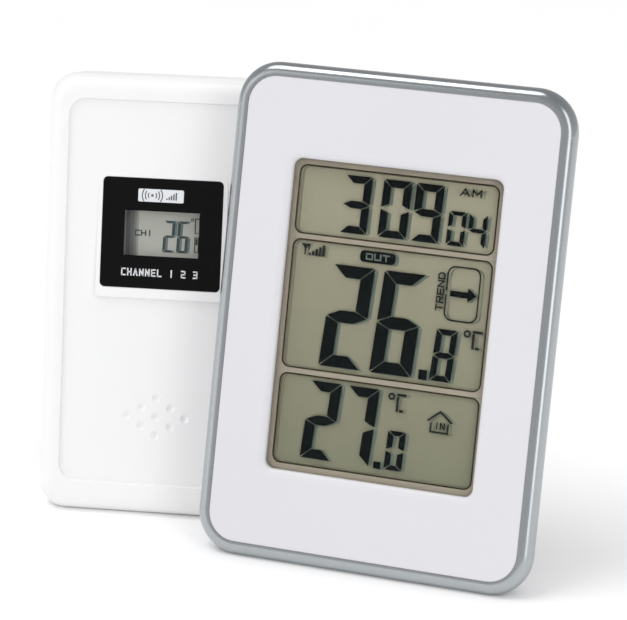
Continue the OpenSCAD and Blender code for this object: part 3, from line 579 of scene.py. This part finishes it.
finishes = {
    "silverPaint": silverFinish(silverPaint),
    "clearWindow": glassFinish("clearWindow", (1, 1, 1, 1), 0.02, 1.12),
    "displayGlass": glassFinish("displayGlass", (0.985, 0.99, 0.97, 1), 0.0, 1.02),
    "blackGloss": plasticFinish("blackGloss", (9, 9, 10), (14, 14, 15), 0.5, 0.03, (0.14, 0.24),
                                Specular_IOR_Level=0.13),
}
for makeFinish, looks in ((plasticFinish, plastics), (inkFinish, inks), (paintedShadeFadingFinish, paintedShadeFadings),
                          (metalFinish, metals)):
    for finishName, look in looks.items():
        finishes[finishName] = makeFinish(finishName, *look)
print("finishes made:", len(finishes))

nodeFinishes = {
    "stationWhite": ("rear_housing",),
    "sensorWhite": ("sensor_rear",),
    "silverPaint": ("trim_ring",),
    "clearWindow": ("lens", "sensor_lens"),
    "displayGlass": ("lcd_cell",),
    "sensorField": ("sensor_lcd",),
    "reflectorFilm": ("reflector",),
    "innerPlastic": ("lcd_holder", "sensor_holder"),
    "rubber": ("zebra_strip", "sensor_zebra", "sensor_seal"),
    "board": ("main_board", "sensor_board", "receiver", "transmitter"),
    "epoxy": ("chip", "sensor_chip", "thermistor", "sensor_thermistor", "tact_switches", "send_tact"),
    "steel": ("board_screws", "stand_pin", "sensor_board_screws", "sensor_pin", "crystal", "switch_body"),
    "nickel": ("station_contacts", "sensor_contacts", "antenna", "sensor_antenna"),
    "blackGloss": ("sensor_bezel", "channel_switch"),
}
for finishName, nodeNames in nodeFinishes.items():
    for nodeName in nodeNames:
        for place in nodes[nodeName].material_slots:
            place.material = finishes[finishName]


# Display of the station, in mm from its middle
segmentSets = {"0": "abcdef", "2": "abged", "3": "abgcd", "4": "fgbc", "6": "afgecd",
               "7": "abc", "8": "abcdefg", "9": "abcdfg"}


def digit(figure, box, stroke, slant):
    left, low, right, high = box
    middle = (low + high) / 2
    lean = slant * (high - low) / 2
    left += lean
    right -= lean
    wide, tall = stroke
    inL = left + wide
    inR = right - wide
    corners = {
        "a": [(left, high), (inL, high - tall), (inR, high - tall), (right, high)],
        "b": [(right, high), (inR, high - tall), (inR, middle + tall / 2), (right, middle)],
        "c": [(right, middle), (inR, middle - tall / 2), (inR, low + tall), (right, low)],
        "d": [(right, low), (inR, low + tall), (inL, low + tall), (left, low)],
        "e": [(left, low), (inL, low + tall), (inL, middle - tall / 2), (left, middle)],
        "f": [(left, middle), (inL, middle + tall / 2), (inL, high - tall), (left, high)],
        "g": [(left, middle), (inL, middle - tall / 2), (inR, middle - tall / 2),
              (right, middle), (inR, middle + tall / 2), (inL, middle + tall / 2)],
    }
    shapes = []
    for name in segmentSets[figure]:
        shapes.append(flatShape([(x + slant * (y - middle), y) for x, y in corners[name]]))
    return shapes


display = {
    # the shift at the end of this line moves the painted shadows of the ink off the ink
    "film": 0.02, "inkDepth": 0.04, "inkLift": 0.01, "fieldDepth": -0.55, "shadowShift": (0.8, -0.15),
    "mask": (-30.2, -42.0, 30.2, 42.0), "frameLine": 0.36, "frameCorner": 2.2,
    "frames": [(-26.7, 20.7, 26.6, 38.4), (-26.7, -13.6, 26.8, 19.5), (-26.7, -38.3, 27.0, -14.9)],
    "figures": [  # figures and their boxes, stroke, slant
        ([("3", (-14.8, 22.1, -6.8, 37.0)), ("0", (-4.5, 22.1, 3.8, 37.0)), ("9", (4.2, 22.1, 12.3, 37.0))],
         (2.35, 2.15), 0.03),
        ([("0", (13.6, 22.1, 18.8, 31.0)), ("4", (19.0, 22.1, 24.3, 31.0))], (1.4, 1.3), 0.03),
        ([("2", (-16.8, -12.2, -3.8, 14.2)), ("6", (-3.1, -12.2, 10.0, 14.2))], (3.75, 3.4), 0.06),
        ([("8", (12.9, -12.2, 19.6, 1.3))], (1.9, 1.75), 0.06),
        ([("2", (-19.4, -36.2, -9.5, -16.0)), ("7", (-9.3, -36.2, 0.7, -16.0))], (3.1, 2.75), 0.06),
        ([("0", (3.3, -36.2, 8.7, -25.9))], (1.85, 1.5), 0.036),
    ],
    "gap": 0.32,
    "points": [(10.2, -12.2, 12.4, -9.7), (0.7, -36.2, 2.6, -34.4)],
    "markLine": 0.46, "wordLine": 0.36,
    "degreeMarks": [(20.9, -3.0, 25.9, 1.7), (2.9, -21.2, 7.7, -16.5)], "degreeBar": 0.62,
    "morning": (16.3, 34.8, 22.0, 36.8),
    "outPill": (-8.3, 15.5, 1.1, 18.4), "pillCorner": 1.0, "outMargin": (1.5, 0.6),
    "aerial": (-24.3, 15.5, -17.6, 18.3),
    "trendWord": (12.8, 5.6, 14.7, 15.3),
    "trendBox": (15.3, 3.6, 23.8, 17.1), "trendCorner": 2.0, "trendGap": 1.3,
    "trendArrow": (16.3, 8.5, 23.2, 12.1),
    "house": (13.6, -25.1, 20.5, -19.3),
}

degreeShape = {"ring": 0.19, "steps": 24, "stem": 2.5, "gapAbove": 1.3, "gapBeside": 1.5}


def degreeMark(box, line, bar):
    left, low, right, high = box
    deselect()
    radius = (right - left) * degreeShape["ring"]
    bpy.ops.mesh.primitive_circle_add(vertices=degreeShape["steps"], radius=radius, fill_type="NGON",
                                      location=(left + radius, high - radius, 0))
    bpy.ops.object.transform_apply()
    ring = keepRim(bpy.context.object, line)
    stem = left + degreeShape["stem"] * radius
    return [ring, flatBar(stem, high - bar, right, high),
            flatBar(stem, low, stem + bar, high - degreeShape["gapAbove"] * bar),
            flatBar(stem + degreeShape["gapBeside"] * bar, low, right - bar, low + bar)]


def trendFrame(box, line, corner, gap):
    left, low, right, high = box
    middle = (low + high) / 2
    points = [(left, middle + gap / 2)]  # open beside the arrow
    points += arcPoints(left + corner, high - corner, corner, 180, 90)
    points += arcPoints(right - corner, high - corner, corner, 90, 0)
    points += arcPoints(right - corner, low + corner, corner, 0, -90)
    points += arcPoints(left + corner, low + corner, corner, -90, -180)
    return strokeLine(points + [(left, middle - gap / 2)], line)


aerialShape = {"mast": 0.42, "bowl": 0.5, "half": 0.2, "bars": 5, "bar": 0.68}


def aerialMark(box):
    left, low, right, high = box
    tall = high - low
    mast = left + aerialShape["mast"] * tall
    half = aerialShape["half"]
    bars = aerialShape["bars"]
    shapes = [flatShape([(left, high), (mast, high - aerialShape["bowl"] * tall), (2 * mast - left, high)]),
              flatBar(mast - half, low, mast + half, high)]
    step = (right - mast) / (bars + 1)
    for bar in range(1, bars + 1):
        x = mast + bar * step
        shapes.append(flatBar(x, low, x + aerialShape["bar"] * step, low + tall * bar / bars))
    return shapes


arrowShape = {"shaft": 0.2, "head": 0.62}


def arrowMark(box):
    left, low, right, high = box
    middle = (low + high) / 2
    shaft = (high - low) * arrowShape["shaft"]
    neck = right - (high - low) * arrowShape["head"]
    return flatShape([(left, middle + shaft), (left, middle - shaft), (neck, middle - shaft), (neck, low),
                      (right, middle), (neck, high), (neck, middle + shaft)])


houseShape = {"eaves": 0.52, "inset": 0.14, "roof": 1.4, "word": (-1.3, 1.0, 1.5, 2.8), "wordLine": 0.3}


def houseMark(box, line):
    left, low, right, high = box
    middle = (left + right) / 2
    eaves = low + (high - low) * houseShape["eaves"]
    inset = (right - left) * houseShape["inset"]
    drop = line * houseShape["roof"]
    wordLeft, wordLow, wordRight, wordHigh = houseShape["word"]
    wordBox = (middle + wordLeft, low + wordLow, middle + wordRight, low + wordHigh)
    return [flatShape([(left, eaves), (left + line, eaves - line / 2), (middle, high - drop),
                       (right - line, eaves - line / 2), (right, eaves), (middle, high)]),
            flatBar(left + inset, low, left + inset + line, eaves - line),
            flatBar(right - inset - line, low, right - inset, eaves - line),
            flatBar(left + inset, low, right - inset, low + line),
            *strokeWord("IN", wordBox, houseShape["wordLine"])]


def displayDigits(layout):
    shapes = []
    for row, stroke, slant in layout["figures"]:
        for figure, box in row:
            shapes += digit(figure, box, stroke, slant)
    return openGaps(joinAll(shapes, "displayDigits"), layout["gap"])


def displayBlocks(layout):
    shapes = [flatBar(*box) for box in layout["points"]]
    shapes.append(arrowMark(layout["trendArrow"]))
    shapes.append(roundedPlate("pill", layout["outPill"], layout["pillCorner"]))
    return joinAll(shapes, "displayBlocks")


def displayMarks(layout):
    line = layout["markLine"]
    shapes = []
    for box in layout["degreeMarks"]:
        shapes += degreeMark(box, line, layout["degreeBar"])
    shapes += strokeWord("AM", layout["morning"], layout["wordLine"])
    shapes += aerialMark(layout["aerial"])
    shapes += strokeWord("TREND", layout["trendWord"], layout["wordLine"], turned=True)
    shapes += trendFrame(layout["trendBox"], layout["frameLine"], layout["trendCorner"], layout["trendGap"])
    shapes += houseMark(layout["house"], line)
    return joinAll(shapes, "displayMarks")


def displayMask(layout):
    left, low, right, high = layout["mask"]
    boxes = sorted(layout["frames"], key=lambda box: box[1])
    shapes = []
    floor = low
    for box in boxes + [(left, high, right, high)]:
        shapes.append(flatBar(left, floor, right, box[1]))
        floor = box[3]
    corner = layout["frameCorner"]
    for fieldLeft, fieldLow, fieldRight, fieldHigh in boxes:
        shapes.append(flatBar(left, fieldLow, fieldLeft, fieldHigh))
        shapes.append(flatBar(fieldRight, fieldLow, right, fieldHigh))
        for x, y, turn in ((fieldLeft, fieldLow, 180), (fieldRight, fieldLow, 270),
                           (fieldRight, fieldHigh, 0), (fieldLeft, fieldHigh, 90)):
            inX = corner if x == fieldLeft else -corner
            inY = corner if y == fieldLow else -corner
            shapes.append(flatShape([(x, y)] + arcPoints(x + inX, y + inY, corner, turn + 90, turn)))
    return joinAll(shapes, "displayMask")


def makeDisplay(layout):
    film = layout["film"]
    filmFront = layout["fieldDepth"]
    corner = layout["frameCorner"]

    def show(piece, depth, lift, finish, slot="display_glass"):
        dress(thicken(piece, depth, lift), stationFlat, "station", finish, slot)

    fields = [roundedPlate("field", box, corner) for box in layout["frames"]]
    show(joinAll(fields, "displayFields"), film, filmFront, "displayField", "reflector_film")
    frames = [keepRim(roundedPlate("rim", box, corner), layout["frameLine"]) for box in layout["frames"]]
    drawn = [
        (joinAll(frames, "displayFrames"), "frameInk", "displayFramePaintedShadow", "ghostFrame"),
        (displayDigits(layout), "ink", "displayDigitPaintedShadow", "ghostInk"),
        (displayBlocks(layout), "ink", "displayBlockPaintedShadow", "ghostInk"),
        (displayMarks(layout), "markInk", "displayMarkPaintedShadow", "ghostFaint"),
    ]
    # each layer of ink gets a shifted copy in a shadow tone on the field behind the glass: painted shadows of
    # the ink
    for layer, (piece, finish, shadowName, shadowFinish) in enumerate(drawn, 1):
        show(twinOf(piece, shadowName, *layout["shadowShift"]), film, filmFront + layer * film, shadowFinish)
    show(displayMask(layout), film, 0, "displayBorder")
    left, low, right, high = layout["outPill"]
    inX, inY = layout["outMargin"]
    word = strokeWord("OUT", (left + inX, low + inY, right - inX, high - inY), layout["wordLine"])
    # the OUT letters take the tone of the painted ink shadows
    show(joinAll(word, "displayOutWord"), film, layout["inkDepth"] + layout["inkLift"], "ghostInk")
    for piece, finish, shadowName, shadowFinish in drawn:
        show(piece, layout["inkDepth"], layout["inkLift"], finish)


makeDisplay(display)
print("display drawn")


# Display of the sensor, in mm from the middle of its glass
sensorDisplay = {
    # the depth, lift and shift named after the ink set the painted shadow of the digits
    "inkDepth": 0.03, "inkLift": 0.02, "shadowDepth": 0.01, "shadowLift": 0.01, "shadowShift": 0.62,
    "figures": [("2", (-0.2, -5.0, 3.3, 3.5)), ("6", (3.5, -5.0, 7.0, 3.5))],
    "stroke": (0.9, 0.78), "slant": 0.05, "gap": 0.14,
    "channel": (-7.6, -0.9, -2.9, 0.7), "channelLine": 0.34,
    "markLine": 0.22,
    "degree": (7.3, 0.3, 9.6, 4.4), "degreeBar": 0.3,
    "cellMark": (8.4, -4.6, 9.6, -0.6), "cellCorner": 0.1, "cellInset": (0.3, 0.4),
    # strips at the display's left edge: painted shade from the bezel's wall
    "paintedShadeEdges": (-10.4, -10.05, -8.9, -7.9, -7.2, -6.6), "paintedShadeHalf": 6.8, "paintedShadeDepth": 0.02,
    "paintedShadeFinishes": ("sensorPale", "sensorDim", "sensorShade", "sensorSoft", "sensorPale"),
}


def makeSensorDisplay(layout):
    def show(piece, depth, lift, finish):
        dress(thicken(piece, depth, lift), sensorFlat, "sensor", finish, "display_glass")

    shapes = []
    for figure, box in layout["figures"]:
        shapes += digit(figure, box, layout["stroke"], layout["slant"])
    figures = openGaps(joinAll(shapes, "sensorDigits"), layout["gap"])
    marks = strokeWord("CH1", layout["channel"], layout["channelLine"])
    marks += degreeMark(layout["degree"], layout["markLine"], layout["degreeBar"])
    left, low, right, high = layout["cellMark"]
    inX, inY = layout["cellInset"]
    marks.append(keepRim(roundedPlate("rim", layout["cellMark"], layout["cellCorner"]), layout["markLine"]))
    marks.append(flatBar(left + inX, (low + high) / 2, right - inX, high - inY))
    marks = joinAll(marks, "sensorMarks")
    # a shifted copy of the digits in a shadow tone: painted shadow
    digitShadow = twinOf(figures, "sensorDigitPaintedShadow", layout["shadowShift"])
    show(digitShadow, layout["shadowDepth"], layout["shadowLift"], "sensorGhost")
    for piece in (figures, marks):
        show(piece, layout["inkDepth"], layout["inkLift"], "sensorInk")
    # grey strips at the left edge: painted shade from the bezel's wall
    edges = layout["paintedShadeEdges"]
    for place, finish in enumerate(layout["paintedShadeFinishes"]):
        strip = flatBar(edges[place], -layout["paintedShadeHalf"], edges[place + 1], layout["paintedShadeHalf"])
        strip.name = "sensorPaintedShade.%d" % place
        show(strip, layout["paintedShadeDepth"], 0, finish)


# Prints on the sensor's window plate, in mm from its middle
sensorLabel = {
    "box": (-6.6, 8.3, 5.6, 11.7), "corner": 0.4, "cornerSteps": 4, "printDepth": 0.03, "markDepth": 0.02,
    "wavesShift": -2.3, "dot": (0.02, 0.36, 0, 345, 16),  # radius, line, start, end, steps
    "rings": (0.95, 1.75, 2.55), "ringLine": 0.3, "ringReach": 36,
    "bars": 5, "barsFrom": 3.7, "barStep": 0.62, "barWide": 0.4, "barFoot": -1.0, "barRise": 0.4,
    "legend": (-10.4, -11.3, 10.1, -9.3), "legendLine": 0.38, "legendShare": 0.56,
}


def arcShape(x, y, radius, line, start, end, steps=8):
    outside = arcPoints(x, y, radius + line, start, end, steps)
    inside = arcPoints(x, y, radius, start, end, steps)
    return flatShape(outside + inside[::-1])


def makeSensorLabel(layout):
    def show(piece, depth, lift, finish):
        dress(thicken(piece, depth, lift), bezelFlat, "sensor", finish, "black_window")

    left, low, right, high = layout["box"]
    label = roundedPlate("sensorLabel", layout["box"], layout["corner"], layout["cornerSteps"])
    show(label, layout["printDepth"], 0, "whitePrint")
    x = (left + right) / 2 + layout["wavesShift"]
    y = (low + high) / 2
    reach = layout["ringReach"]
    waves = [arcShape(x, y, *layout["dot"])]
    for ring in layout["rings"]:
        for side in (0, 180):
            waves.append(arcShape(x, y, ring, layout["ringLine"], side - reach, side + reach))
    foot = y + layout["barFoot"]
    for bar in range(layout["bars"]):
        start = x + layout["barsFrom"] + layout["barStep"] * bar
        waves.append(flatBar(start, foot, start + layout["barWide"], foot + layout["barRise"] * (bar + 1)))
    show(joinAll(waves, "sensorWaves"), layout["markDepth"], layout["printDepth"], "greyPrint")
    legend = strokeWord("CHANNEL 1 2 3", layout["legend"], layout["legendLine"], share=layout["legendShare"])
    show(joinAll(legend, "sensorLegend"), layout["printDepth"], 0, "whitePrint")


makeSensorDisplay(sensorDisplay)
makeSensorLabel(sensorLabel)
print("sensor window drawn")


# Face of the station: a plate with a soft roll round the window, in front of its flange and bosses
facePlate = {
    "width": 82.76, "height": 119.76, "corner": 7.38, "front": 2.95, "back": 0.9,
    "edge": 0.07, "edgeSteps": 3,
    "windowWidth": 55.8, "windowHeight": 79.7, "windowCorner": 2.3,
    "roll": 2.2, "rollDepth": 1.45, "rollSteps": 9,
}


def makeFacePlate(sizes):
    roll = sizes["roll"]
    front = sizes["front"]
    back = sizes["back"]
    well = startPlate("well", sizes["windowWidth"] + 2 * roll, sizes["windowHeight"] + 2 * roll, z=front)
    openMesh(roundCorners(well, sizes["windowCorner"] + roll))
    turns = [math.pi / 2 * step / sizes["rollSteps"] for step in range(sizes["rollSteps"] + 1)]
    for before, after in zip(turns, turns[1:]):
        inward = roll * (math.sin(after) - math.sin(before))
        drop = sizes["rollDepth"] * (math.cos(before) - math.cos(after))
        bpy.ops.mesh.inset(thickness=inward, depth=-drop)
    land = front - sizes["rollDepth"] - back
    bpy.ops.mesh.extrude_region_move(TRANSFORM_OT_translate={"value": (0, 0, -land)})
    bpy.ops.mesh.delete(type="FACE")
    closeMesh(well)
    rim = roundCorners(startPlate("rim", sizes["width"], sizes["height"], z=front), sizes["corner"])
    openMesh(rim)
    bpy.ops.mesh.delete(type="ONLY_FACE")
    bpy.ops.mesh.select_mode(type="EDGE")
    bpy.ops.mesh.select_all(action="SELECT")
    bpy.ops.mesh.extrude_region_move(TRANSFORM_OT_translate={"value": (0, 0, back - front)})
    closeMesh(rim)
    plate = joinAll([well, rim], "facePlate")
    openMesh(plate, "EDGE")
    for level in (front, back):
        bpy.ops.mesh.select_all(action="DESELECT")
        net = bmesh.from_edit_mesh(plate.data)
        for edge in net.edges:
            atLevel = max(abs(corner.co.z - level) for corner in edge.verts) < touch
            edge.select_set(edge.is_boundary and atLevel)
        bmesh.update_edit_mesh(plate.data)
        bpy.ops.mesh.bridge_edge_loops()
    bpy.ops.mesh.select_all(action="SELECT")
    bpy.ops.mesh.normals_make_consistent(inside=False)
    closeMesh(plate)

    wellX = sizes["windowWidth"] / 2 + 2 * roll
    wellY = sizes["windowHeight"] / 2 + 2 * roll

    def outerEdge(start, end):
        beyondWell = abs(start.x) > wellX or abs(start.y) > wellY
        return min(start.z, end.z) > front - touch and beyondWell

    roundEdges(plate, sizes["edge"], sizes["edgeSteps"], outerEdge)
    behind = looseCopy("front_panel", "faceBosses", stationFlat)  # flange and bosses alone
    openMesh(behind)
    bpy.ops.mesh.bisect(plane_co=(0, 0, back - touch), plane_no=(0, 0, 1), clear_outer=True, use_fill=True)
    closeMesh(behind)
    plate = smooth(joinAll([plate, behind], "facePlate"))
    dress(plate, stationFlat, "station", "stationWhite", "white_case", "front_panel")


# Front cover of the sensor: eased recess and wedge
sensorShell = {
    "edge": 0.3, "recessSteps": 4, "wedgeSteps": 3,
    "floor": 1.7, "side": 20, "top": 25, "foot": -60,  # edges of the recess lie beyond these
    "wedgeRise": 2.4, "wedgeFoot": (-20, -16.5),  # edges of the wedge's foot lie between these
}


def makeSensorShell(sizes):
    piece = looseCopy("sensor_front", "sensorShell", sensorFlat)
    wedgeLow, wedgeHigh = sizes["wedgeFoot"]

    def recessWall(start, end):
        wide = min(abs(start.x), abs(end.x)) > sizes["side"]
        tall = min(start.y, end.y) > sizes["top"] or max(start.y, end.y) < sizes["foot"]
        return min(start.z, end.z) > sizes["floor"] and (wide or tall)

    def wedgeEdge(start, end):
        atFoot = max(start.y, end.y) < wedgeHigh and min(start.y, end.y) > wedgeLow
        return atFoot and start.z > sizes["wedgeRise"]

    roundEdges(piece, sizes["edge"], sizes["recessSteps"], recessWall)
    roundEdges(piece, sizes["edge"], sizes["wedgeSteps"], wedgeEdge)
    dress(smooth(piece), sensorFlat, "sensor", "sensorWhite", "white_case", "sensor_front")


makeFacePlate(facePlate)
makeSensorShell(sensorShell)
print("front covers eased")


# Backs: eased buttons, crossed screw heads, ribbed doors and legs, plain prints
buttonEdge = {"width": 0.45, "steps": 4}


def makeButton(node, name, body, back):
    piece = looseCopy(node, name, back)
    roundEdges(piece, buttonEdge["width"], buttonEdge["steps"], edgesAt(topOf(piece)))
    dress(smooth(piece), back, body, "greyButton", "grey_button", node)


screwHead = {"arm": 1.25, "half": 0.3, "deep": 0.65, "cutter": 1.0, "rim": 0.3, "rimSteps": 3, "rimFrom": 1.6}


def crossSlot(sizes, top):
    arm = sizes["arm"]
    half = sizes["half"]
    cutter = flatShape([(half, half), (half, arm), (-half, arm), (-half, half), (-arm, half),
                        (-arm, -half), (-half, -half), (-half, -arm), (half, -arm), (half, -half),
                        (arm, -half), (arm, half)])
    return thicken(cutter, sizes["cutter"], top - sizes["deep"])


def makeScrews(node, name, body, back):
    piece = looseCopy(node, name, back)
    top = topOf(piece)
    heads = [face for face in facingFaces(piece) if face.center.z > top - touch]
    places = [(face.center.x, face.center.y) for face in heads]
    slot = crossSlot(screwHead, top)
    cutter = joinAll([twinOf(slot, "crossSlot", x, y) for x, y in places], "crossSlots")
    applyModifier(piece, "BOOLEAN", object=cutter, operation="DIFFERENCE", solver="EXACT")
    bpy.data.objects.remove(cutter)
    bpy.data.objects.remove(slot)

    def headEdge(start, end):
        middle = (start + end) / 2
        reach = min(math.hypot(middle.x - x, middle.y - y) for x, y in places)
        return min(start.z, end.z) > top - touch and reach > screwHead["rimFrom"]

    roundEdges(piece, screwHead["rim"], screwHead["rimSteps"], headEdge)
    dress(smooth(piece), back, body, "steel", "screw_steel", node)


ribShape = {"sunk": 0.2, "ends": 0.45, "cornerSteps": 4, "crown": 0.3, "crownSteps": 2}


def ribsOn(grip, foot, level):
    low = foot + grip["rise"]
    tall = grip["tall"]
    rib = roundedPlate("rib", (-grip["half"], low, grip["half"], low + grip["wide"]),
                       grip["wide"] * ribShape["ends"], ribShape["cornerSteps"])
    thicken(rib, tall + ribShape["sunk"], level - ribShape["sunk"])
    roundEdges(rib, ribShape["crown"] * tall, ribShape["crownSteps"], edgesAt(level + tall))
    return [rib] + [twinOf(rib, "rib", y=place * grip["step"]) for place in range(1, grip["ribs"])]


doorGrip = {"ribs": 5, "step": 1.35, "rise": 2.2, "half": 9.0, "wide": 0.75, "tall": 0.35, "arrow": 2.0}
printDepth = 0.03


def makeDoor(node, name, body, back, finish):
    piece = looseCopy(node, name, back)
    level = topOf(piece)
    foot = footOf(piece)
    door = joinAll([piece] + ribsOn(doorGrip, foot, level), name)
    dress(smooth(door), back, body, finish, "white_case", node)
    size = doorGrip["arrow"]
    point = foot + doorGrip["rise"] + (doorGrip["ribs"] + 1) * doorGrip["step"]
    arrow = flatShape([(-size, point + size), (0, point), (size, point + size)])
    arrow.name = name + "Arrow"
    dress(thicken(arrow, printDepth, level), back, body, "greyPrint", "white_case")


legGrip = {"ribs": 4, "step": 2.2, "rise": 6.0, "half": 8.0, "wide": 0.9, "tall": 0.22}
legEdge = {"width": 0.5, "steps": 3, "below": -8, "shortest": 5}  # eased below the hinge


def makeLeg(node, name, body, toBack, finish):
    back = flatFrame(node, faceWay(node, toBack))
    piece = looseCopy(node, name, back)
    level = max(facingFaces(piece), key=lambda face: face.area).center.z

    def longEdge(start, end):
        flat = abs(start.z - level) < touch and abs(end.z - level) < touch
        return flat and max(start.y, end.y) < legEdge["below"] and (start - end).length > legEdge["shortest"]

    foot = footOf(piece)
    roundEdges(piece, legEdge["width"], legEdge["steps"], longEdge)
    leg = joinAll([piece] + ribsOn(legGrip, foot, level), name)
    dress(smooth(leg), back, body, finish, "white_case", node)


cellBands = {"cap": 1.3, "band": 9.0}


def makeCells(node, name, body, flat):
    piece = looseCopy(node, name, flat)
    ends = [corner.co.x for corner in piece.data.vertices]
    cap = cellBands["cap"]
    band = cellBands["band"]
    cuts = (min(ends) + cap, min(ends) + band, max(ends) - band, max(ends) - cap)
    openMesh(piece)
    for cut in cuts:
        bpy.ops.mesh.select_all(action="SELECT")
        bpy.ops.mesh.bisect(plane_co=(cut, 0, 0), plane_no=(1, 0, 0))
    closeMesh(piece)
    middle = sum(corner.co.y for corner in piece.data.vertices) / len(piece.data.vertices)
    smooth(piece)
    places = [(face.center.x, face.center.y) for face in piece.data.polygons]
    dress(piece, flat, body, "cellJacket", "cell_jacket", node)
    piece.data.materials.append(finishes["cellBand"])
    piece.data.materials.append(finishes["steel"])
    for face, (x, y) in zip(piece.data.polygons, places):
        nubSide = x > cuts[2] if y > middle else x < cuts[1]
        if x < cuts[0] or x > cuts[3]:
            face.material_index = 2
        elif nubSide:
            face.material_index = 1


backPrints = {
    "line": 0.32, "drop": 5.4, "sign": 2.0, "proud": 0.8,
    "stationWords": [  # node, word, box from the node's middle, share of a letter's cell
        ("button_mode", "MODE", (-3.1, -6.25, 3.1, -4.55), 0.7),
        ("button_set", "SET", (-2.3, -6.25, 2.3, -4.55), 0.7),
    ],
    "sensorWords": [
        ("channel_switch", "1 2 3", (-3.2, 2.6, 3.2, 4.4), 0.5),
        ("send_button", "SEND", (-3.1, -5.6, 3.1, -3.9), 0.7),
    ],
}


def middleOf(node, flat):
    low, high = boxIn(node, flat)
    return (low.x + high.x) / 2, (low.y + high.y) / 2


def printWords(rows, flat, line):
    shapes = []
    for node, word, (left, low, right, high), share in rows:
        x, y = middleOf(node, flat)
        shapes += strokeWord(word, (x + left, y + low, x + right, y + high), line, share=share)
    return shapes


def makePrints(sizes):
    line = sizes["line"]
    half = sizes["sign"] / 2
    shapes = printWords(sizes["stationWords"], stationBack, line)
    for node in ("button_up", "button_down"):
        x, y = middleOf(node, stationBack)
        y -= sizes["drop"]
        shapes.append(flatBar(x - half, y - line / 2, x + half, y + line / 2))
        if node == "button_up":
            shapes.append(flatBar(x - line / 2, y - half, x + line / 2, y + half))
    level = boxIn("button_mode", stationBack)[1].z - sizes["proud"]  # the case round the button
    prints = thicken(joinAll(shapes, "stationPrints"), printDepth, level)
    dress(prints, stationBack, "station", "greyPrint", "white_case")
    shapes = printWords(sizes["sensorWords"], sensorBack, line)
    prints = thicken(joinAll(shapes, "sensorPrints"), printDepth, boxIn("sensor_rear", sensorBack)[1].z)
    dress(prints, sensorBack, "sensor", "greyPrint", "white_case")


backButtons = (
    ("button_mode", "modeButton", "mode_button", stationBack),
    ("button_set", "setButton", "set_button", stationBack),
    ("button_up", "upButton", "up_button", stationBack),
    ("button_down", "downButton", "down_button", stationBack),
    ("send_button", "sendButton", "send_key", sensorBack),
)
for button in backButtons:
    makeButton(*button)
makeScrews("case_screws", "caseScrews", "station", stationBack)
makeScrews("sensor_case_screws", "sensorCaseScrews", "sensor", sensorBack)
makeDoor("battery_door", "batteryDoor", "door", stationBack, "stationWhite")
makeDoor("sensor_door", "sensorDoor", "sensor_lid", sensorBack, "sensorWhite")
makeLeg("stand_leg", "standLeg", "stand", -pressWay("mode_press"), "stationWhite")
makeLeg("sensor_leg", "sensorLeg", "sensor_stand", -pressWay("send_press"), "sensorWhite")
makeCells("station_cells", "stationCells", "station", stationFlat)
makeCells("sensor_cells", "sensorCells", "sensor", sensorFlat)
makePrints(backPrints)
print("backs finished")


studio = {
    "floor": 60,  # m
    "aim": (0, 10, 60),  # mm
    "light": 0.79, "backdrop": 0.97,  # strengths
    "mirrored": (0.58, 0.26),  # strength at the horizon and overhead
}
lamps = {  # away and size in mm, spread in degrees
    "overhead": {"kind": "SUN", "from": (-0.36, -0.116, 0.926), "power": 0.8, "spread": 32},
    "rightStrip": {"kind": "AREA", "from": (0.72, -0.57, 0.42), "power": 2.0, "away": 1000,
                   "size": (360, 1000)},
    "leftCard": {"kind": "AREA", "from": (-0.84, -0.5, 0.2), "power": 0.65, "away": 950, "size": (560, 700)},
    "frontFill": {"kind": "AREA", "from": (-0.6, -0.7, 0.6), "power": 0.6, "away": 1250, "size": (700, 500)},
}


def makeFloor():
    bpy.ops.mesh.primitive_plane_add(size=studio["floor"], location=(0, 0, 0))
    floor = bpy.context.object
    floor.name = "floor"
    floor.data.materials.append(finishes["paleFloor"])


def makeLamps():
    for name, lamp in lamps.items():
        bpy.ops.object.light_add(type=lamp["kind"])
        light = bpy.context.object
        light.name = name
        light.data.energy = lamp["power"]
        away = Vector(lamp["from"]).normalized()
        if lamp["kind"] == "SUN":
            light.data.angle = math.radians(lamp["spread"])
        else:
            light.data.shape = "RECTANGLE"
            light.data.size = lamp["size"][0] * mm
            light.data.size_y = lamp["size"][1] * mm
            light.location = (Vector(studio["aim"]) + away * lamp["away"]) * mm
        light.rotation_euler = away.to_track_quat("Z", "Y").to_euler()


def makeBackdrop():
    world = bpy.data.worlds.new("paleStudio")
    world.use_nodes = True
    tree = world.node_tree
    lit = tree.nodes["Background"]  # what lights the object
    mirrored = tree.nodes.new("ShaderNodeBackground")  # what glossy pieces mirror, darker overhead
    seen = tree.nodes.new("ShaderNodeBackground")  # what shows beyond the floor
    for background in (lit, mirrored, seen):
        background.inputs["Color"].default_value = (1, 1, 1, 1)
    lit.inputs["Strength"].default_value = studio["light"]
    seen.inputs["Strength"].default_value = studio["backdrop"]
    dimming = spreadOver(tree, heightIn(tree), "To", *studio["mirrored"])
    tree.links.new(dimming, mirrored.inputs["Strength"])
    shown = lit.outputs["Background"]
    for ray, background in (("Is Glossy Ray", mirrored), ("Is Camera Ray", seen)):
        shown = forRay(tree, ray, shown, background.outputs["Background"])
    tree.links.new(shown, tree.nodes["World Output"].inputs["Surface"])
    bpy.context.scene.world = world
    bpy.context.scene.view_settings.view_transform = "Standard"


makeFloor()
makeLamps()
makeBackdrop()
print("stage and lamps set")
